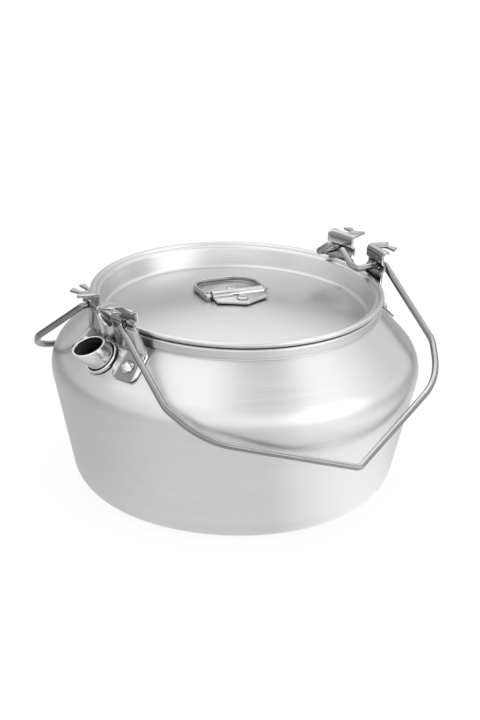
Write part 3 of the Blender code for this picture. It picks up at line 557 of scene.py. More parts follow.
def clip_piece(finish):
    """Pointed plate with a half-round barrel pressed up along its middle."""
    radius = CLIP_BARREL_INNER + CLIP_SHEET
    start = math.asin((CLIP_TOP - RING_AXIS_HEIGHT) / radius)
    barrel = arc(Vector((0, RING_AXIS_HEIGHT)), radius, math.pi - start, start, 24)
    reach = CLIP_POINT + CLIP_SHEET
    section = [Vector((-reach, CLIP_TOP))] + barrel + [Vector((reach, CLIP_TOP))]
    under = offset_path(section, -CLIP_SHEET)
    shape = bmesh.new()
    ends = []
    for along in (-CLIP_HALF_WIDTH * 1.1, CLIP_HALF_WIDTH * 1.1):
        ends.append([shape.verts.new((along, point.x, point.y)) for point in section]
                    + [shape.verts.new((along, point.x, point.y)) for point in under[::-1]])
    count = len(ends[0])
    for index in range(count):
        after = (index + 1) % count
        shape.faces.new((ends[0][index], ends[0][after], ends[1][after], ends[1][index]))
    half = len(section)
    for end in ends:
        for index in range(half - 1):
            shape.faces.new((end[index], end[index + 1], end[count - 2 - index],
                             end[count - 1 - index]))
    bmesh.ops.recalc_face_normals(shape, faces=shape.faces)
    clip = add("lid_ring_clip_fine", mesh_of("clip", shape), finish)
    clip.matrix_world = lid_frame(0, 0, 0)
    corners = [(CLIP_HALF_WIDTH, -CLIP_SHOULDER, CLIP_CORNER_ROUND),
               (CLIP_HALF_WIDTH, CLIP_SHOULDER, CLIP_CORNER_ROUND),
               (0, CLIP_POINT, CLIP_POINT_ROUND)]
    outline = rounded_path(corners + [(-a, -b, radius) for a, b, radius in corners], closed=True,
                           turn_step=math.radians(10))
    tools = []
    cut(clip, plate("outline", outline, 20 * CLIP_SHEET), lid_frame(0, 0, CLIP_TOP),
        "INTERSECT", tools)
    soften(settle(clip, tools), 0.16 * MM)
    return clip


def ring_piece(finish):
    drop = math.asin((RING_AXIS_HEIGHT - lid_dome(RING_REACH) - GAP - RING_WIRE / 2) / RING_REACH)
    corners = [(-RING_HALF_WIDTH, 0, RING_HEEL), (RING_HALF_WIDTH, 0, RING_HEEL),
               (RING_HALF_WIDTH, RING_REACH, RING_CORNER),
               (-RING_HALF_WIDTH, RING_REACH, RING_CORNER)]
    path = rounded_path(corners, closed=True)
    mesh = swept("ring", [(point.x, point.y, 0) for point in path], RING_WIRE / 2, closed=True)
    ring = add("lid_ring_fine", mesh, finish)
    ring.matrix_world = lid_frame(0, 0, RING_AXIS_HEIGHT) @ Matrix.Rotation(-drop, 4, "X")
    return ring


def rivet_piece(name, place, head, dome, shank, below, finish, dimple=0.0):
    """A rivet with a domed head; a dimple makes its crown hollow."""
    tail = head * 0.8
    thick = dome * 0.6
    crown = (head ** 2 - dome ** 2) / (2 * dome)
    radius = crown + dome
    sweep = math.asin(head / radius)
    cap = [Vector((radius * math.sin(sweep * step / 14),
                   radius * math.cos(sweep * step / 14) - crown)) for step in range(15)]
    for point in cap:
        inside = max(0.0, 1 - (point.x / (head * 0.55)) ** 2)
        point.y -= dimple * inside ** 0.5
    cap[0].x = 0
    stem = [Vector((shank, 0)), Vector((shank, -below)), Vector((tail, -below)),
            Vector((tail, -below - thick)), Vector((0, -below - thick))]
    rivet = add(name, revolved("rivet", cap + stem, 48), finish)
    rivet.matrix_world = place
    return rivet


def spout_piece(finish):
    bore = SPOUT_RADIUS - SPOUT_WALL
    lip = SPOUT_RADIUS + SPOUT_LIP
    lip_top = -SHELL - GAP - shoulder_sag(lip)
    lip_bottom = lip_top - SPOUT_LIP_THICK
    edge = SPOUT_WALL * 0.4
    tube = rounded_path([
        (bore, SPOUT_REACH, edge), (SPOUT_RADIUS, SPOUT_REACH, edge),
        (SPOUT_RADIUS, lip_top, 0), (lip, lip_top, 0), (lip, lip_bottom, 0),
        (bore, lip_bottom, 0),
    ], closed=True, turn_step=math.radians(15))
    mesh = revolved("spout", tube, 96, closed=True, sharp=50)
    for vertex in mesh.vertices:
        if vertex.co.z > SPOUT_REACH / 2:
            vertex.co.z -= vertex.co.x * math.tan(SPOUT_CUT)
    spout = add("spout_tube_fine", mesh, finish)
    spout.matrix_world = shoulder_frame(SPOUT_PLACE, math.pi)
    return spout


def collar_piece(finish):
    inner = SPOUT_RADIUS + GAP
    outer = inner + COLLAR_WIDTH
    round_over = COLLAR_WIDTH * 0.48
    ring = rounded_path([
        (inner, COLLAR_HEIGHT, round_over), (outer, COLLAR_HEIGHT, round_over),
        (outer, 0, 0), (inner, 0, 0),
    ], closed=True, turn_step=math.radians(15))
    collar = add("spout_collar_fine", revolved("collar", ring, 96, closed=True, sharp=50), finish)
    collar.matrix_world = shoulder_frame(SPOUT_PLACE, math.pi, GAP)
    return collar


def foot_rivets():
    radius = NECK_RADIUS + FOOT_RIVET_STEP
    spread = math.asin(FOOT_RIVET_PLACE / radius)
    return radius, (("spout_bracket_rivet_front", math.pi + spread),
                    ("spout_bracket_rivet_back", math.pi - spread),
                    ("far_bracket_rivet_front", -spread),
                    ("far_bracket_rivet_back", spread))


def bracket_section():
    """Outer face of the bracket sheet as radius and height, from the flange tip to the toe."""
    stand = (GAP + BRACKET_SHEET) / math.cos(SHOULDER_NORMAL)
    slope = math.tan(SHOULDER_SLOPE)

    def on_foot(height):
        return NECK_RADIUS + (NECK_HEIGHT - height) / slope + stand

    centre = Vector((WEB_RADIUS + BARREL_BULGE - BARREL_ROUND, PIVOT_HEIGHT))
    spread = math.asin(BARREL_HALF / BARREL_ROUND)
    barrel = arc(centre, BARREL_ROUND, spread, -spread, 10)
    below = TOE_HEIGHT - 2 * BRACKET_SHEET
    return rounded_path([
        (HOOK_TIP_INNER[0] + 2 * BRACKET_SHEET, FLANGE_HEIGHT, 0),
        (WEB_RADIUS, FLANGE_HEIGHT, WEB_BEND),
        *((point.x, point.y, 0) for point in barrel),
        (on_foot(CREASE_HEIGHT), CREASE_HEIGHT, CREASE_ROUND),
        (on_foot(below), below, 0),
    ], turn_step=math.radians(12))


def bracket_front():
    """Outline of the bracket seen along X, as y and z."""
    above = FLANGE_TOP + BRACKET_SHEET
    springing = shoulder_height(SPOUT_PLACE)
    over = [(ARCH_RADIUS * math.cos(angle), springing + ARCH_RISE * math.sin(angle), 0)
            for angle in (math.radians(7.5 * step) for step in range(0, 13))]
    half = [
        (0, SADDLE_HEIGHT, 0),
        (TAB_INNER, SADDLE_HEIGHT, TAB_INNER * 0.9),
        (TAB_INNER, above, 0),
        (TAB_OUTER, above, 0),
        (TAB_OUTER, PIVOT_HEIGHT - BARREL_HALF, 0),
        (CREASE_HALF_WIDTH, CREASE_HEIGHT, CREASE_ROUND),
        (TOE_HALF_WIDTH, TOE_HEIGHT, TOE_ROUND),
        (TOE_INNER, TOE_HEIGHT, TOE_INNER_ROUND),
    ] + over
    return rounded_path(half + [(-a, b, radius) for a, b, radius in half[-2:0:-1]], closed=True,
                        turn_step=math.radians(9))


def hook_plan(side):
    """Outline of one flange tab seen from above."""
    slot = BAIL_WIRE / 2 + PIVOT_RUNNING
    leg = BAIL_HALF_WIDTH + BAIL_SPLAY * (FLANGE_TOP - PIVOT_HEIGHT) / BAIL_SHOULDER
    back = WEB_RADIUS - 8 * BRACKET_SHEET
    corners = [
        (back, TAB_INNER - BRACKET_SHEET / 2, 0),
        (WEB_RADIUS, TAB_INNER - BRACKET_SHEET / 2, 0),
        (*HOOK_TIP_INNER, HOOK_TIP_ROUND),
        (*HOOK_NOTCH, HOOK_TIP_ROUND),
        (*HOOK_TIP_OUTER, HOOK_TIP_ROUND),
        (leg + slot, HOOK_END, HOOK_SLOT_ROUND),
        (leg + slot, PIVOT_OFFSET - slot, slot * 0.99),
        (leg - slot, PIVOT_OFFSET - slot, slot * 0.99),
        (leg - slot, TAB_OUTER + BRACKET_SHEET, 0),
        (back, TAB_OUTER + BRACKET_SHEET, 0),
    ]
    return [(point.x, side * point.y) for point in
            rounded_path(corners, closed=True, turn_step=math.radians(12))]


def bracket_pieces(finish):
    """One sheet as a sector of a turned section, trimmed, then used twice."""
    sweep = 1.15 * math.asin(TOE_HALF_WIDTH / (WEB_RADIUS - BRACKET_SHEET))
    outer = bracket_section()
    loop = outer + offset_path(outer, -BRACKET_SHEET)[::-1]
    steps = 40
    shape = bmesh.new()
    rows = []
    for step in range(steps + 1):
        angle = -sweep + 2 * sweep * step / steps
        rows.append([shape.verts.new((p.x * math.cos(angle), p.x * math.sin(angle), p.y))
                     for p in loop])
    count = len(loop)
    for first, second in zip(rows, rows[1:]):
        for index in range(count):
            after = (index + 1) % count
            shape.faces.new((first[index], first[after], second[after], second[index]))
    for row in (rows[0], rows[-1]):
        for index in range(len(outer) - 1):
            shape.faces.new((row[index], row[index + 1], row[count - 2 - index],
                             row[count - 1 - index]))
    bmesh.ops.recalc_face_normals(shape, faces=shape.faces)
    sheet = add("far_bracket_fine", mesh_of("bracket", shape), finish)
    tools = []
    facing = Matrix(((0, 0, 1, 0), (1, 0, 0, 0), (0, 1, 0, 0), (0, 0, 0, 1)))
    front = plate("front", bracket_front(), 2 * HOOK_TIP_INNER[0])
    cut(sheet, front, Matrix.Translation((HOOK_TIP_INNER[0], 0, 0)) @ facing, "INTERSECT", tools)
    lowest = (FLANGE_HEIGHT + PIVOT_HEIGHT + BARREL_HALF) / 2
    over = cut(sheet, block((WEB_RADIUS - 6 * BRACKET_SHEET, -TOE_HALF_WIDTH, lowest),
                            (HOOK_TIP_INNER[0] + 6 * BRACKET_SHEET, TOE_HALF_WIDTH,
                             FLANGE_TOP + 3 * BRACKET_SHEET)), Matrix(), "DIFFERENCE", tools)
    for side in (-1, 1):
        cut(over, plate("tab", hook_plan(side), 30 * BRACKET_SHEET),
            Matrix.Translation((0, 0, FLANGE_TOP)), "DIFFERENCE", tools)
        cut(sheet, rod(BAIL_WIRE / 2 + PIVOT_RUNNING, 4 * BARREL_ROUND),
            Matrix.Translation((WEB_RADIUS, side * PIVOT_OFFSET, PIVOT_HEIGHT))
            @ Matrix.Rotation(math.pi / 2, 4, "Y"), "DIFFERENCE", tools)
    mesh = settle(sheet, tools)
    soften(mesh, 0.17 * MM)
    near = add("spout_bracket_fine", mesh.copy(), finish)
    near.matrix_world = Matrix.Rotation(math.pi, 4, "Z")
    return near, sheet


def bail_pieces(finish):
    right = [
        (TAIL_PLACE, -TAIL_LENGTH, 0),
        (TAIL_PLACE, 0, TAIL_BEND),
        (BAIL_HALF_WIDTH, 0, BAIL_ELBOW),
        (BAIL_HALF_WIDTH + BAIL_SPLAY, BAIL_SHOULDER, BAIL_SHOULDER_ROUND),
        (*BAIL_CORNER, BAIL_CORNER_ROUND),
    ]
    left = [(-x, reach, radius) for x, reach, radius in right[:1:-1]]
    path = rounded_path(right + [(0, BAIL_PEAK, BAIL_PEAK_ROUND)] + left + [(-BAIL_END, 0, 0)],
                        turn_step=math.radians(4))
    half = BAIL_WIRE / 2 - WIRE_INSET
    turns = [math.radians(turn) for turn in (0, 12, 25, 40, 55, 72, 90)]
    tip = [Vector((TAIL_PLACE, half * (1 - math.cos(turn)) - TAIL_LENGTH)) for turn in turns]
    end = [Vector((-BAIL_END - WIRE_END_ROUND * (1 - math.sin(turn)), 0)) for turn in turns[::2]]
    end_widths = [1 - WIRE_END_ROUND * (1 - math.cos(turn)) / half for turn in turns[::2]]
    points = tip + path[1:-1] + end
    widths = [max(math.sin(turn), 0.08) for turn in turns] + [1.0] * (len(path) - 2) + end_widths
    made = []
    for name, side, turn in (("front_bail_fine", -1, BAIL_HANG),
                             ("back_bail_fine", 1, math.pi - BAIL_HANG)):
        mesh = swept(name, [(point.x, -point.y, 0) for point in points], half, widths=widths)
        bail = add(name, mesh, finish)
        place = Matrix.Translation((0, side * PIVOT_OFFSET, PIVOT_HEIGHT))
        bail.matrix_world = place @ Matrix.Rotation(turn, 4, "X")
        made.append(bail)
    return made


# Nearly all of a noise lies between these two values
NOISE_SPAN = (0.3, 0.7)

# Share of open sky at which the painted shade in a crease is darkest, and at which it ends
CREASE_SPAN = (0.08, 0.5)

# Painted shade on steel: upward part of the normal of a steep face and of a level one, pointiness of
# a flat face and of an edge, which is spared and stays bright, and the colour that steep faces are
# darkened to
STEEP_SPAN = (0.72, 0.98)
EDGE_SPAN = (0.53, 0.60)
SHADOW = (0.035, 0.035, 0.036, 1)


class Nodes:
    """Short calls for a material's nodes."""

    def __init__(self, name):
        self.material = bpy.data.materials.new(name)
        self.material.use_nodes = True
        self.tree = self.material.node_tree
        self.shader = self.tree.nodes["Principled BSDF"]

    def new(self, kind, **settings):
        node = self.tree.nodes.new(kind)
        for key, value in settings.items():
            setattr(node, key, value)
        return node

    def link(self, source, target):
        self.tree.links.new(source, target)

    def math(self, operation, first, second=None, third=None):
        node = self.new("ShaderNodeMath", operation=operation)
        for index, value in enumerate((first, second, third)):
            if value is None:
                continue
            if isinstance(value, (int, float)):
                node.inputs[index].default_value = value
            else:
                self.link(value, node.inputs[index])
        return node.outputs[0]

    def noise(self, vector, scale, detail=3.0, w=None, roughness=0.55):
        node = self.new("ShaderNodeTexNoise", noise_dimensions="4D" if w is not None else "3D")
        node.inputs["Scale"].default_value = scale
        node.inputs["Detail"].default_value = detail
        node.inputs["Roughness"].default_value = roughness
        self.link(vector, node.inputs["Vector"])
        if w is not None:
            self.link(w, node.inputs["W"])
        return node.outputs["Fac"]

    def shaded(self, colour, reach, dark):
        """The colour darkened in creases narrower than reach and under nearby parts: painted shade,
        by ambient occlusion.
        """
        crease = self.new("ShaderNodeAmbientOcclusion", samples=6)
        crease.inputs["Distance"].default_value = reach
        mix = self.new("ShaderNodeMix", data_type="RGBA", blend_type="MULTIPLY")
        mix.inputs["Factor"].default_value = 1.0
        self.link(colour, mix.inputs["A"])
        grey = self.new("ShaderNodeCombineColor")
        level = self.ramp(crease.outputs["AO"], *CREASE_SPAN, dark, 1.0)
        for channel in grey.inputs:
            self.link(level, channel)
        self.link(grey.outputs[0], mix.inputs["B"])
        return mix.outputs["Result"]

    def tones(self, share, colour, darker, lighter):
        """The colour, wandering between a darker and a lighter tone of itself."""
        mix = self.new("ShaderNodeMix", data_type="RGBA")
        self.link(share, mix.inputs["Factor"])
        for key, scale in (("A", darker), ("B", lighter)):
            mix.inputs[key].default_value = (*(min(1, channel * scale) for channel in colour), 1)
        return mix.outputs["Result"]

    def relief(self, height, strength, distance):
        """Bumps on the surface."""
        bump = self.new("ShaderNodeBump")
        bump.inputs["Strength"].default_value = strength
        bump.inputs["Distance"].default_value = distance
        self.link(height, bump.inputs["Height"])
        self.link(bump.outputs[0], self.shader.inputs["Normal"])

    def mixed(self, share, first, second):
        """One shader that gives way to another."""
        node = self.new("ShaderNodeMixShader")
        for source, socket in zip((share, first, second), node.inputs):
            self.link(source, socket)
        return node.outputs[0]

    def toward(self, direction, aim):
        """1 where a direction points at aim, which is given as seen by the camera."""
        node = self.new("ShaderNodeVectorMath", operation="DOT_PRODUCT")
        self.link(direction, node.inputs[0])
        node.inputs[1].default_value = studio(*aim)
        return node.outputs["Value"]

    def ramp(self, value, low, high, out_low, out_high, kind="LINEAR"):
        node = self.new("ShaderNodeMapRange", interpolation_type=kind)
        self.link(value, node.inputs["Value"])
        for key, number in (("From Min", low), ("From Max", high),
                            ("To Min", out_low), ("To Max", out_high)):
            node.inputs[key].default_value = number
        return node.outputs["Result"]


def turned_streaks(nodes, across, along):
    """Noise that runs round the Z axis: fine across the cut lines, long along them."""
    place = nodes.new("ShaderNodeTexCoord").outputs["Object"]
    split = nodes.new("ShaderNodeSeparateXYZ")
    nodes.link(place, split.inputs[0])
    x, y, z = split.outputs
    radius = nodes.math("SQRT", nodes.math("ADD", nodes.math("MULTIPLY", x, x),
                                           nodes.math("MULTIPLY", y, y)))
    joined = nodes.new("ShaderNodeCombineXYZ")
    nodes.link(nodes.math("MULTIPLY", x, along), joined.inputs[0])
    nodes.link(nodes.math("MULTIPLY", y, along), joined.inputs[1])
    nodes.link(nodes.math("MULTIPLY", z, across), joined.inputs[2])
    return nodes.noise(joined.outputs[0], 1.0, 2.0, nodes.math("MULTIPLY", radius, across), 0.6)


def spun_metal(name, colour, roughness, grain, crease):
    """Satin aluminium with the fine circular lines that a lathe leaves, and painted shade in
    creases.

    grain is how far the lines stand out, and crease the share of light left in a crease by that
    painted shade.
    """
    nodes = Nodes(name)
    shader = nodes.shader
    fine = turned_streaks(nodes, 2600, 34)
    broad = turned_streaks(nodes, 520, 16)
    place = nodes.new("ShaderNodeTexCoord").outputs["Object"]
    cloud = nodes.noise(place, 26, 3.0)
    lines = nodes.math("ADD", nodes.math("MULTIPLY", fine, 0.6), nodes.math("MULTIPLY", broad, 0.4))
    share = nodes.ramp(nodes.math("ADD", nodes.math("MULTIPLY", lines, 0.8),
                                  nodes.math("MULTIPLY", cloud, 0.2)), *NOISE_SPAN, 0.0, 1.0)
    tone = nodes.tones(share, colour, 1 - grain, 1 + grain)
    nodes.link(nodes.shaded(tone, 1.6 * MM, crease), shader.inputs["Base Color"])
    nodes.link(nodes.ramp(lines, *NOISE_SPAN, roughness - 0.05, roughness + 0.06),
               shader.inputs["Roughness"])
    shader.inputs["Metallic"].default_value = 1.0
    shader.inputs["Anisotropic"].default_value = 0.7
    shader.inputs["Anisotropic Rotation"].default_value = 0.25
    tangent = nodes.new("ShaderNodeTangent", direction_type="RADIAL", axis="Z")
    nodes.link(tangent.outputs[0], shader.inputs["Tangent"])
    nodes.relief(lines, 0.25, 0.06 * MM)
    return nodes.material


def pressed_steel(name, colour, roughness, walls=1.0, wave=0.35, crease=2.0 * MM):
    """Polished stainless steel with rolling lines and a slight wave from the press, and painted
    shade on steep faces and in creases.

    walls is the share of light kept by steep faces under the painted shade, wave the strength of the
    unevenness, and crease how far from a neighbour the surface is given painted shade.
    """
    nodes = Nodes(name)
    shader = nodes.shader
    place = nodes.new("ShaderNodeTexCoord").outputs["Object"]
    stretch = nodes.new("ShaderNodeMapping")
    stretch.inputs["Scale"].default_value = (260, 260, 2400)
    nodes.link(place, stretch.inputs["Vector"])
    rolling = nodes.noise(stretch.outputs[0], 1.0, 2.0)
    smear = nodes.noise(place, 130, 3.0)
    tone = nodes.tones(nodes.ramp(smear, *NOISE_SPAN, 0.0, 1.0), colour, 0.93, 1.05)
    # Painted shade: steep faces, by how far the world normal points up, are darkened toward SHADOW
    # in the base colour, standing in for dark surroundings reflected in the steel; sharp edges,
    # found by pointiness, are spared and stay bright.
    surface = nodes.new("ShaderNodeNewGeometry")
    upward = nodes.new("ShaderNodeSeparateXYZ")
    nodes.link(surface.outputs["Normal"], upward.inputs[0])
    steep = nodes.ramp(upward.outputs["Z"], *STEEP_SPAN, 1 - walls, 0.0)
    painted_steep_shade = nodes.new("ShaderNodeMix", data_type="RGBA")
    flat = nodes.ramp(surface.outputs["Pointiness"], *EDGE_SPAN, 1.0, 0.0)
    nodes.link(nodes.math("MULTIPLY", flat, steep), painted_steep_shade.inputs["Factor"])
    nodes.link(tone, painted_steep_shade.inputs["A"])
    painted_steep_shade.inputs["B"].default_value = SHADOW
    nodes.link(nodes.shaded(painted_steep_shade.outputs["Result"], crease, 0.06),
               shader.inputs["Base Color"])
    nodes.link(nodes.ramp(rolling, *NOISE_SPAN, roughness - 0.04, roughness + 0.06),
               shader.inputs["Roughness"])
    shader.inputs["Metallic"].default_value = 1.0
    height = nodes.math("ADD", nodes.noise(place, 170, 1.0), nodes.math("MULTIPLY", rolling, 0.06))
    nodes.relief(height, wave, 0.2 * MM)
    return nodes.material


def studio(x, y, z):
    """A place given as seen by the camera (right, away, up) in the row frame."""
    cos, sin = math.cos(-VIEW_AZIMUTH), math.sin(-VIEW_AZIMUTH)
    return Vector((x * cos + y * sin, -x * sin + y * cos, z))


def make_camera():
    data = bpy.data.cameras.new("camera")
    data.lens = LENS
    data.sensor_width = SENSOR
    data.clip_start = NEAREST
    data.clip_end = FURTHEST
    camera = bpy.data.objects.new("camera", data)
    bpy.context.scene.collection.objects.link(camera)
    back = Vector((0, -math.cos(VIEW_ELEVATION), math.sin(VIEW_ELEVATION)))
    place = Vector((VIEW_SIDE, 0, VIEW_HEIGHT)) + back * VIEW_DISTANCE
    right = Vector((1, 0, 0))
    up = back.cross(right)
    cos, sin = math.cos(VIEW_ROLL), math.sin(VIEW_ROLL)
    axes = (right * cos + up * sin, up * cos - right * sin, back)
    columns = [studio(*axis) for axis in axes]
    matrix = Matrix(columns).transposed().to_4x4()
    matrix.translation = studio(*place)
    camera.matrix_world = matrix
    bpy.context.scene.camera = camera


# Height of the middle of the kettle, which the lamp is aimed at
LAMP_AIM_HEIGHT = 50 * MM


def softbox(name, direction, distance, size, power):
    """A lamp aimed at the kettle. direction is where it stands, as seen by the camera."""
    data = bpy.data.lights.new(name, "AREA")
    data.shape = "RECTANGLE"
    data.size, data.size_y = size
    data.energy = power
    lamp = bpy.data.objects.new(name, data)
    bpy.context.scene.collection.objects.link(lamp)
    aim = Vector(direction).normalized()
    lamp.location = studio(*(aim * distance)) + Vector((0, 0, LAMP_AIM_HEIGHT))
    lamp.rotation_mode = "QUATERNION"
    lamp.rotation_quaternion = studio(*aim).to_track_quat("Z", "Y")


# Brightness of the white tent round the kettle by the sine of the height angle, and the share of
# it that is brighter on the side named by TENT_SIDE. TENT_TOP is the brightness that both are
# scaled by.
TENT = ((0.0, 1.30), (0.12, 1.32), (0.24, 1.12), (0.37, 0.88), (0.50, 1.06), (0.66, 1.30),
        (0.88, 1.44), (0.985, 1.45))
TENT_TILT = ((0.0, 0.55), (0.24, 0.52), (0.42, 0.40), (0.64, 0.0))
TENT_SIDE = math.radians(157)
TENT_TOP = 2.2

# The bright panel low on the right: its height, where its light begins, as the cosine of the
# angle from its middle, and how much it adds
PANEL_SIDE = math.radians(118)
PANEL_RISE = 0.15
PANEL_EDGE = 0.84
PANEL_GAIN = 0.45

# The darker seam between two panels, high on the camera's side, and the share of light it keeps
SEAM_SIDE = math.radians(152)
SEAM_RISE = 1.7
SEAM_EDGE = 0.90
SEAM_LEVEL = 0.45

# The floor: its brightness in reflections under the kettle and further out, the distances
# between which it fades, its brightness for the camera, and how much of that is its own glow
FLOOR_NEAR = 0.88
FLOOR_FAR = 0.30
FLOOR_FADE = (0.20, 0.55)
FLOOR_SEEN = 1.03
FLOOR_SHARE = 0.88
FLOOR_COLOUR = (0.80, 0.80, 0.80, 1)
FLOOR_RADIUS = 6
FLOOR_DROP = 0.05 * MM

# The panel's glow on the floor and the dark side opposite: side, cosine of the angle at which
# it begins, and change in brightness
FLOOR_PATCHES = ((PANEL_SIDE, 0.72, 0.5), (math.radians(292), 0.2, -0.25))


class WorldNodes(Nodes):
    """The same short calls for the world's nodes."""

    def __init__(self, name):
        world = bpy.data.worlds.new(name)
        bpy.context.scene.world = world
        world.use_nodes = True
        self.tree = world.node_tree
        self.tree.nodes.clear()

    def levels(self, value, stops):
        """Levels by value, given as stops (value, level), in shares of TENT_TOP."""
        ramp = self.new("ShaderNodeValToRGB")
        ramp.color_ramp.interpolation = "EASE"
        elements = ramp.color_ramp.elements
        elements[1].position = stops[-1][0]
        for place, level in stops[1:-1]:
            elements.new(place)
        for element, (place, level) in zip(elements, stops):
            element.color = (level / TENT_TOP, level / TENT_TOP, level / TENT_TOP, 1)
        self.link(value, ramp.inputs[0])
        return ramp.outputs[0]


def aim_of(side, rise=0.0):
    """A direction toward a side, as seen by the camera."""
    return Vector((math.sin(side), math.cos(side), rise))


def make_world():
    """The white tent that lights the kettle, plain white where the camera sees it."""
    nodes = WorldNodes("studio")
    place = nodes.new("ShaderNodeTexCoord").outputs["Generated"]
    split = nodes.new("ShaderNodeSeparateXYZ")
    nodes.link(place, split.inputs[0])
    height = split.outputs["Z"]
    tilt = nodes.math("MULTIPLY", nodes.levels(height, TENT_TILT),
                      nodes.toward(place, aim_of(TENT_SIDE)))
    total = nodes.math("ADD", nodes.levels(height, TENT), tilt)
    panel = nodes.ramp(nodes.toward(place, aim_of(PANEL_SIDE, PANEL_RISE)),
                       PANEL_EDGE, 1.0, 0.0, PANEL_GAIN, "SMOOTHSTEP")
    seam = nodes.ramp(nodes.toward(place, aim_of(SEAM_SIDE, SEAM_RISE).normalized()),
                      SEAM_EDGE, 1.0, 1.0, SEAM_LEVEL, "SMOOTHSTEP")
    tent = nodes.new("ShaderNodeBackground")
    tent.inputs["Strength"].default_value = TENT_TOP
    nodes.link(nodes.math("MULTIPLY", nodes.math("ADD", total, panel), seam),
               tent.inputs["Color"])
    white = nodes.new("ShaderNodeBackground")
    white.inputs["Color"].default_value = (1, 1, 1, 1)
    seen = nodes.new("ShaderNodeLightPath").outputs["Is Camera Ray"]
    out = nodes.new("ShaderNodeOutputWorld")
    nodes.link(nodes.mixed(seen, tent.outputs[0], white.outputs[0]), out.inputs[0])


def make_floor():
    """A white floor that the camera sees as background and the metal as a pale disc."""
    nodes = Nodes("floor_white")
    nodes.shader.inputs["Base Color"].default_value = FLOOR_COLOUR
    nodes.shader.inputs["Roughness"].default_value = 0.9
    nodes.shader.inputs["Specular IOR Level"].default_value = 0.0
    rays = nodes.new("ShaderNodeLightPath")
    seen = rays.outputs["Is Camera Ray"]
    mirrored = nodes.math("MAXIMUM", rays.outputs["Is Glossy Ray"],
                          rays.outputs["Is Transmission Ray"])
    spot = nodes.new("ShaderNodeTexCoord").outputs["Object"]
    length = nodes.new("ShaderNodeVectorMath", operation="LENGTH")
    nodes.link(spot, length.inputs[0])
    reach = nodes.ramp(length.outputs["Value"], *FLOOR_FADE, FLOOR_NEAR, FLOOR_FAR)
    way = nodes.new("ShaderNodeVectorMath", operation="NORMALIZE")
    nodes.link(spot, way.inputs[0])
    for side, edge, change in FLOOR_PATCHES:
        patch = nodes.ramp(nodes.toward(way.outputs[0], aim_of(side)), edge, 1.0, 0.0, change)
        reach = nodes.math("MULTIPLY", reach, nodes.math("ADD", 1.0, patch))
    glow = nodes.new("ShaderNodeEmission")
    strength = nodes.math("MULTIPLY_ADD", seen, FLOOR_SEEN,
                          nodes.math("MULTIPLY", mirrored, reach))
    nodes.link(strength, glow.inputs["Strength"])
    share = nodes.math("MULTIPLY_ADD", seen, FLOOR_SHARE, mirrored)
    out = next(node for node in nodes.tree.nodes if node.type == "OUTPUT_MATERIAL")
    nodes.link(nodes.mixed(share, nodes.shader.outputs[0], glow.outputs[0]),
               out.inputs["Surface"])
    shape = bmesh.new()
    bmesh.ops.create_circle(shape, cap_ends=True, segments=64, radius=FLOOR_RADIUS)
    floor = add("floor", mesh_of("floor", shape), nodes.material)
    floor.location.z = -FLOOR_DROP


def make_studio():
    make_world()
    make_floor()
    softbox("overhead", direction=(-0.10, -0.20, 0.97), distance=1.1, size=(0.9, 0.9), power=0.3)


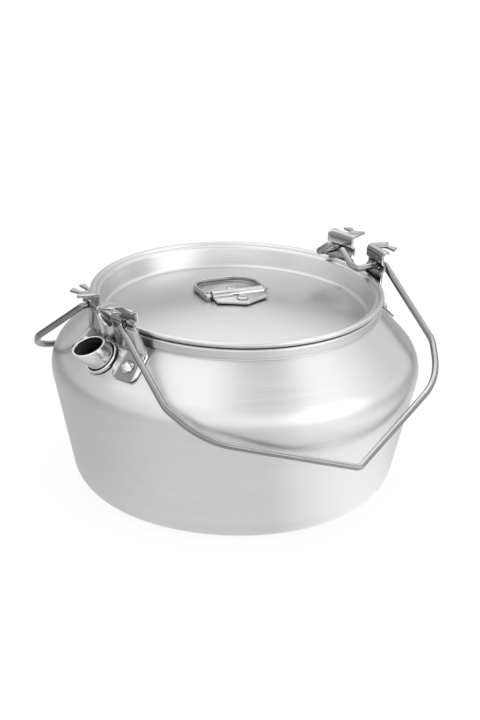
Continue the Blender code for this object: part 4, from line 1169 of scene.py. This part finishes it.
def main():
    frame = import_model()
    make_camera()

    # crease and walls set how much light the painted shade leaves in creases and on steep faces
    body_metal = spun_metal("body_spun_aluminium", (0.66, 0.66, 0.665), roughness=0.34,
                            grain=0.05, crease=0.06)
    lid_metal = spun_metal("lid_spun_aluminium", (0.655, 0.655, 0.66), roughness=0.32,
                           grain=0.035, crease=0.25)
    sheet_metal = pressed_steel("pressed_steel", (0.66, 0.655, 0.65), roughness=0.12, walls=0.34)
    clip_metal = pressed_steel("clip_steel", (0.60, 0.595, 0.59), roughness=0.1, walls=0.75,
                               wave=0.15)
    wire_metal = pressed_steel("drawn_wire", (0.66, 0.655, 0.65), roughness=0.12, walls=0.34)
    tube_metal = pressed_steel("turned_steel", (0.78, 0.775, 0.77), roughness=0.22, wave=0.06,
                               crease=7 * MM)
    rivet_metal = pressed_steel("rivet_metal", (0.74, 0.74, 0.745), roughness=0.2)

    def place(piece, body, slot, *nodes):
        piece.data.transform(piece.matrix_world)
        piece.matrix_world = Matrix()
        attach(piece, body)
        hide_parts(*nodes)

    place(body_piece(body_metal), "kettle", "body_aluminium", "kettle_body")
    place(lid_piece(lid_metal), "lid_group", "lid_aluminium", "lid")
    place(clip_piece(clip_metal), "lid_group", "sheet_steel", "lid_ring_clip")
    place(ring_piece(wire_metal), "ring", "wire_steel", "lid_ring")
    place(spout_piece(tube_metal), "kettle", "sheet_steel", "spout_tube")
    place(collar_piece(tube_metal), "kettle", "sheet_steel", "spout_collar")
    near, far = bracket_pieces(sheet_metal)
    place(near, "kettle", "sheet_steel", "spout_bracket")
    place(far, "kettle", "sheet_steel", "far_bracket")
    front, back = bail_pieces(wire_metal)
    place(front, "bail_front", "wire_steel", "front_bail")
    place(back, "bail_back", "wire_steel", "back_bail")

    radius, rivets = foot_rivets()
    seat = 2 * GAP + BRACKET_SHEET
    for name, azimuth in rivets:
        below = seat + SHELL + GAP + shoulder_sag(FOOT_RIVET_HEAD)
        rivet = rivet_piece(name + "_fine", shoulder_frame(radius, azimuth, seat), FOOT_RIVET_HEAD,
                            FOOT_RIVET_HEAD * FOOT_RIVET_RISE, FOOT_RIVET_SHANK, below, rivet_metal)
        place(rivet, "kettle", "rivet_aluminium", name)
    for name, side in (("lid_ring_rivet_front", -1), ("lid_ring_rivet_back", 1)):
        level = CLIP_TOP + GAP
        middle = CLIP_RIVET_PLACE
        room = (level - lid_dome(middle) + LID_SHEET + GAP
                + lid_dome(middle) - lid_dome(middle + CLIP_RIVET_HEAD))
        rivet = rivet_piece(name + "_fine", lid_frame(0, side * middle, level), CLIP_RIVET_HEAD,
                            CLIP_RIVET_HEAD * CLIP_RIVET_RISE, CLIP_RIVET_SHANK, room, clip_metal,
                            dimple=CLIP_RIVET_DIMPLE)
        place(rivet, "lid_group", "rivet_aluminium", name)

    make_studio()
    scene = bpy.context.scene
    scene.view_settings.view_transform = "Standard"
    bpy.context.view_layer.update()


main()
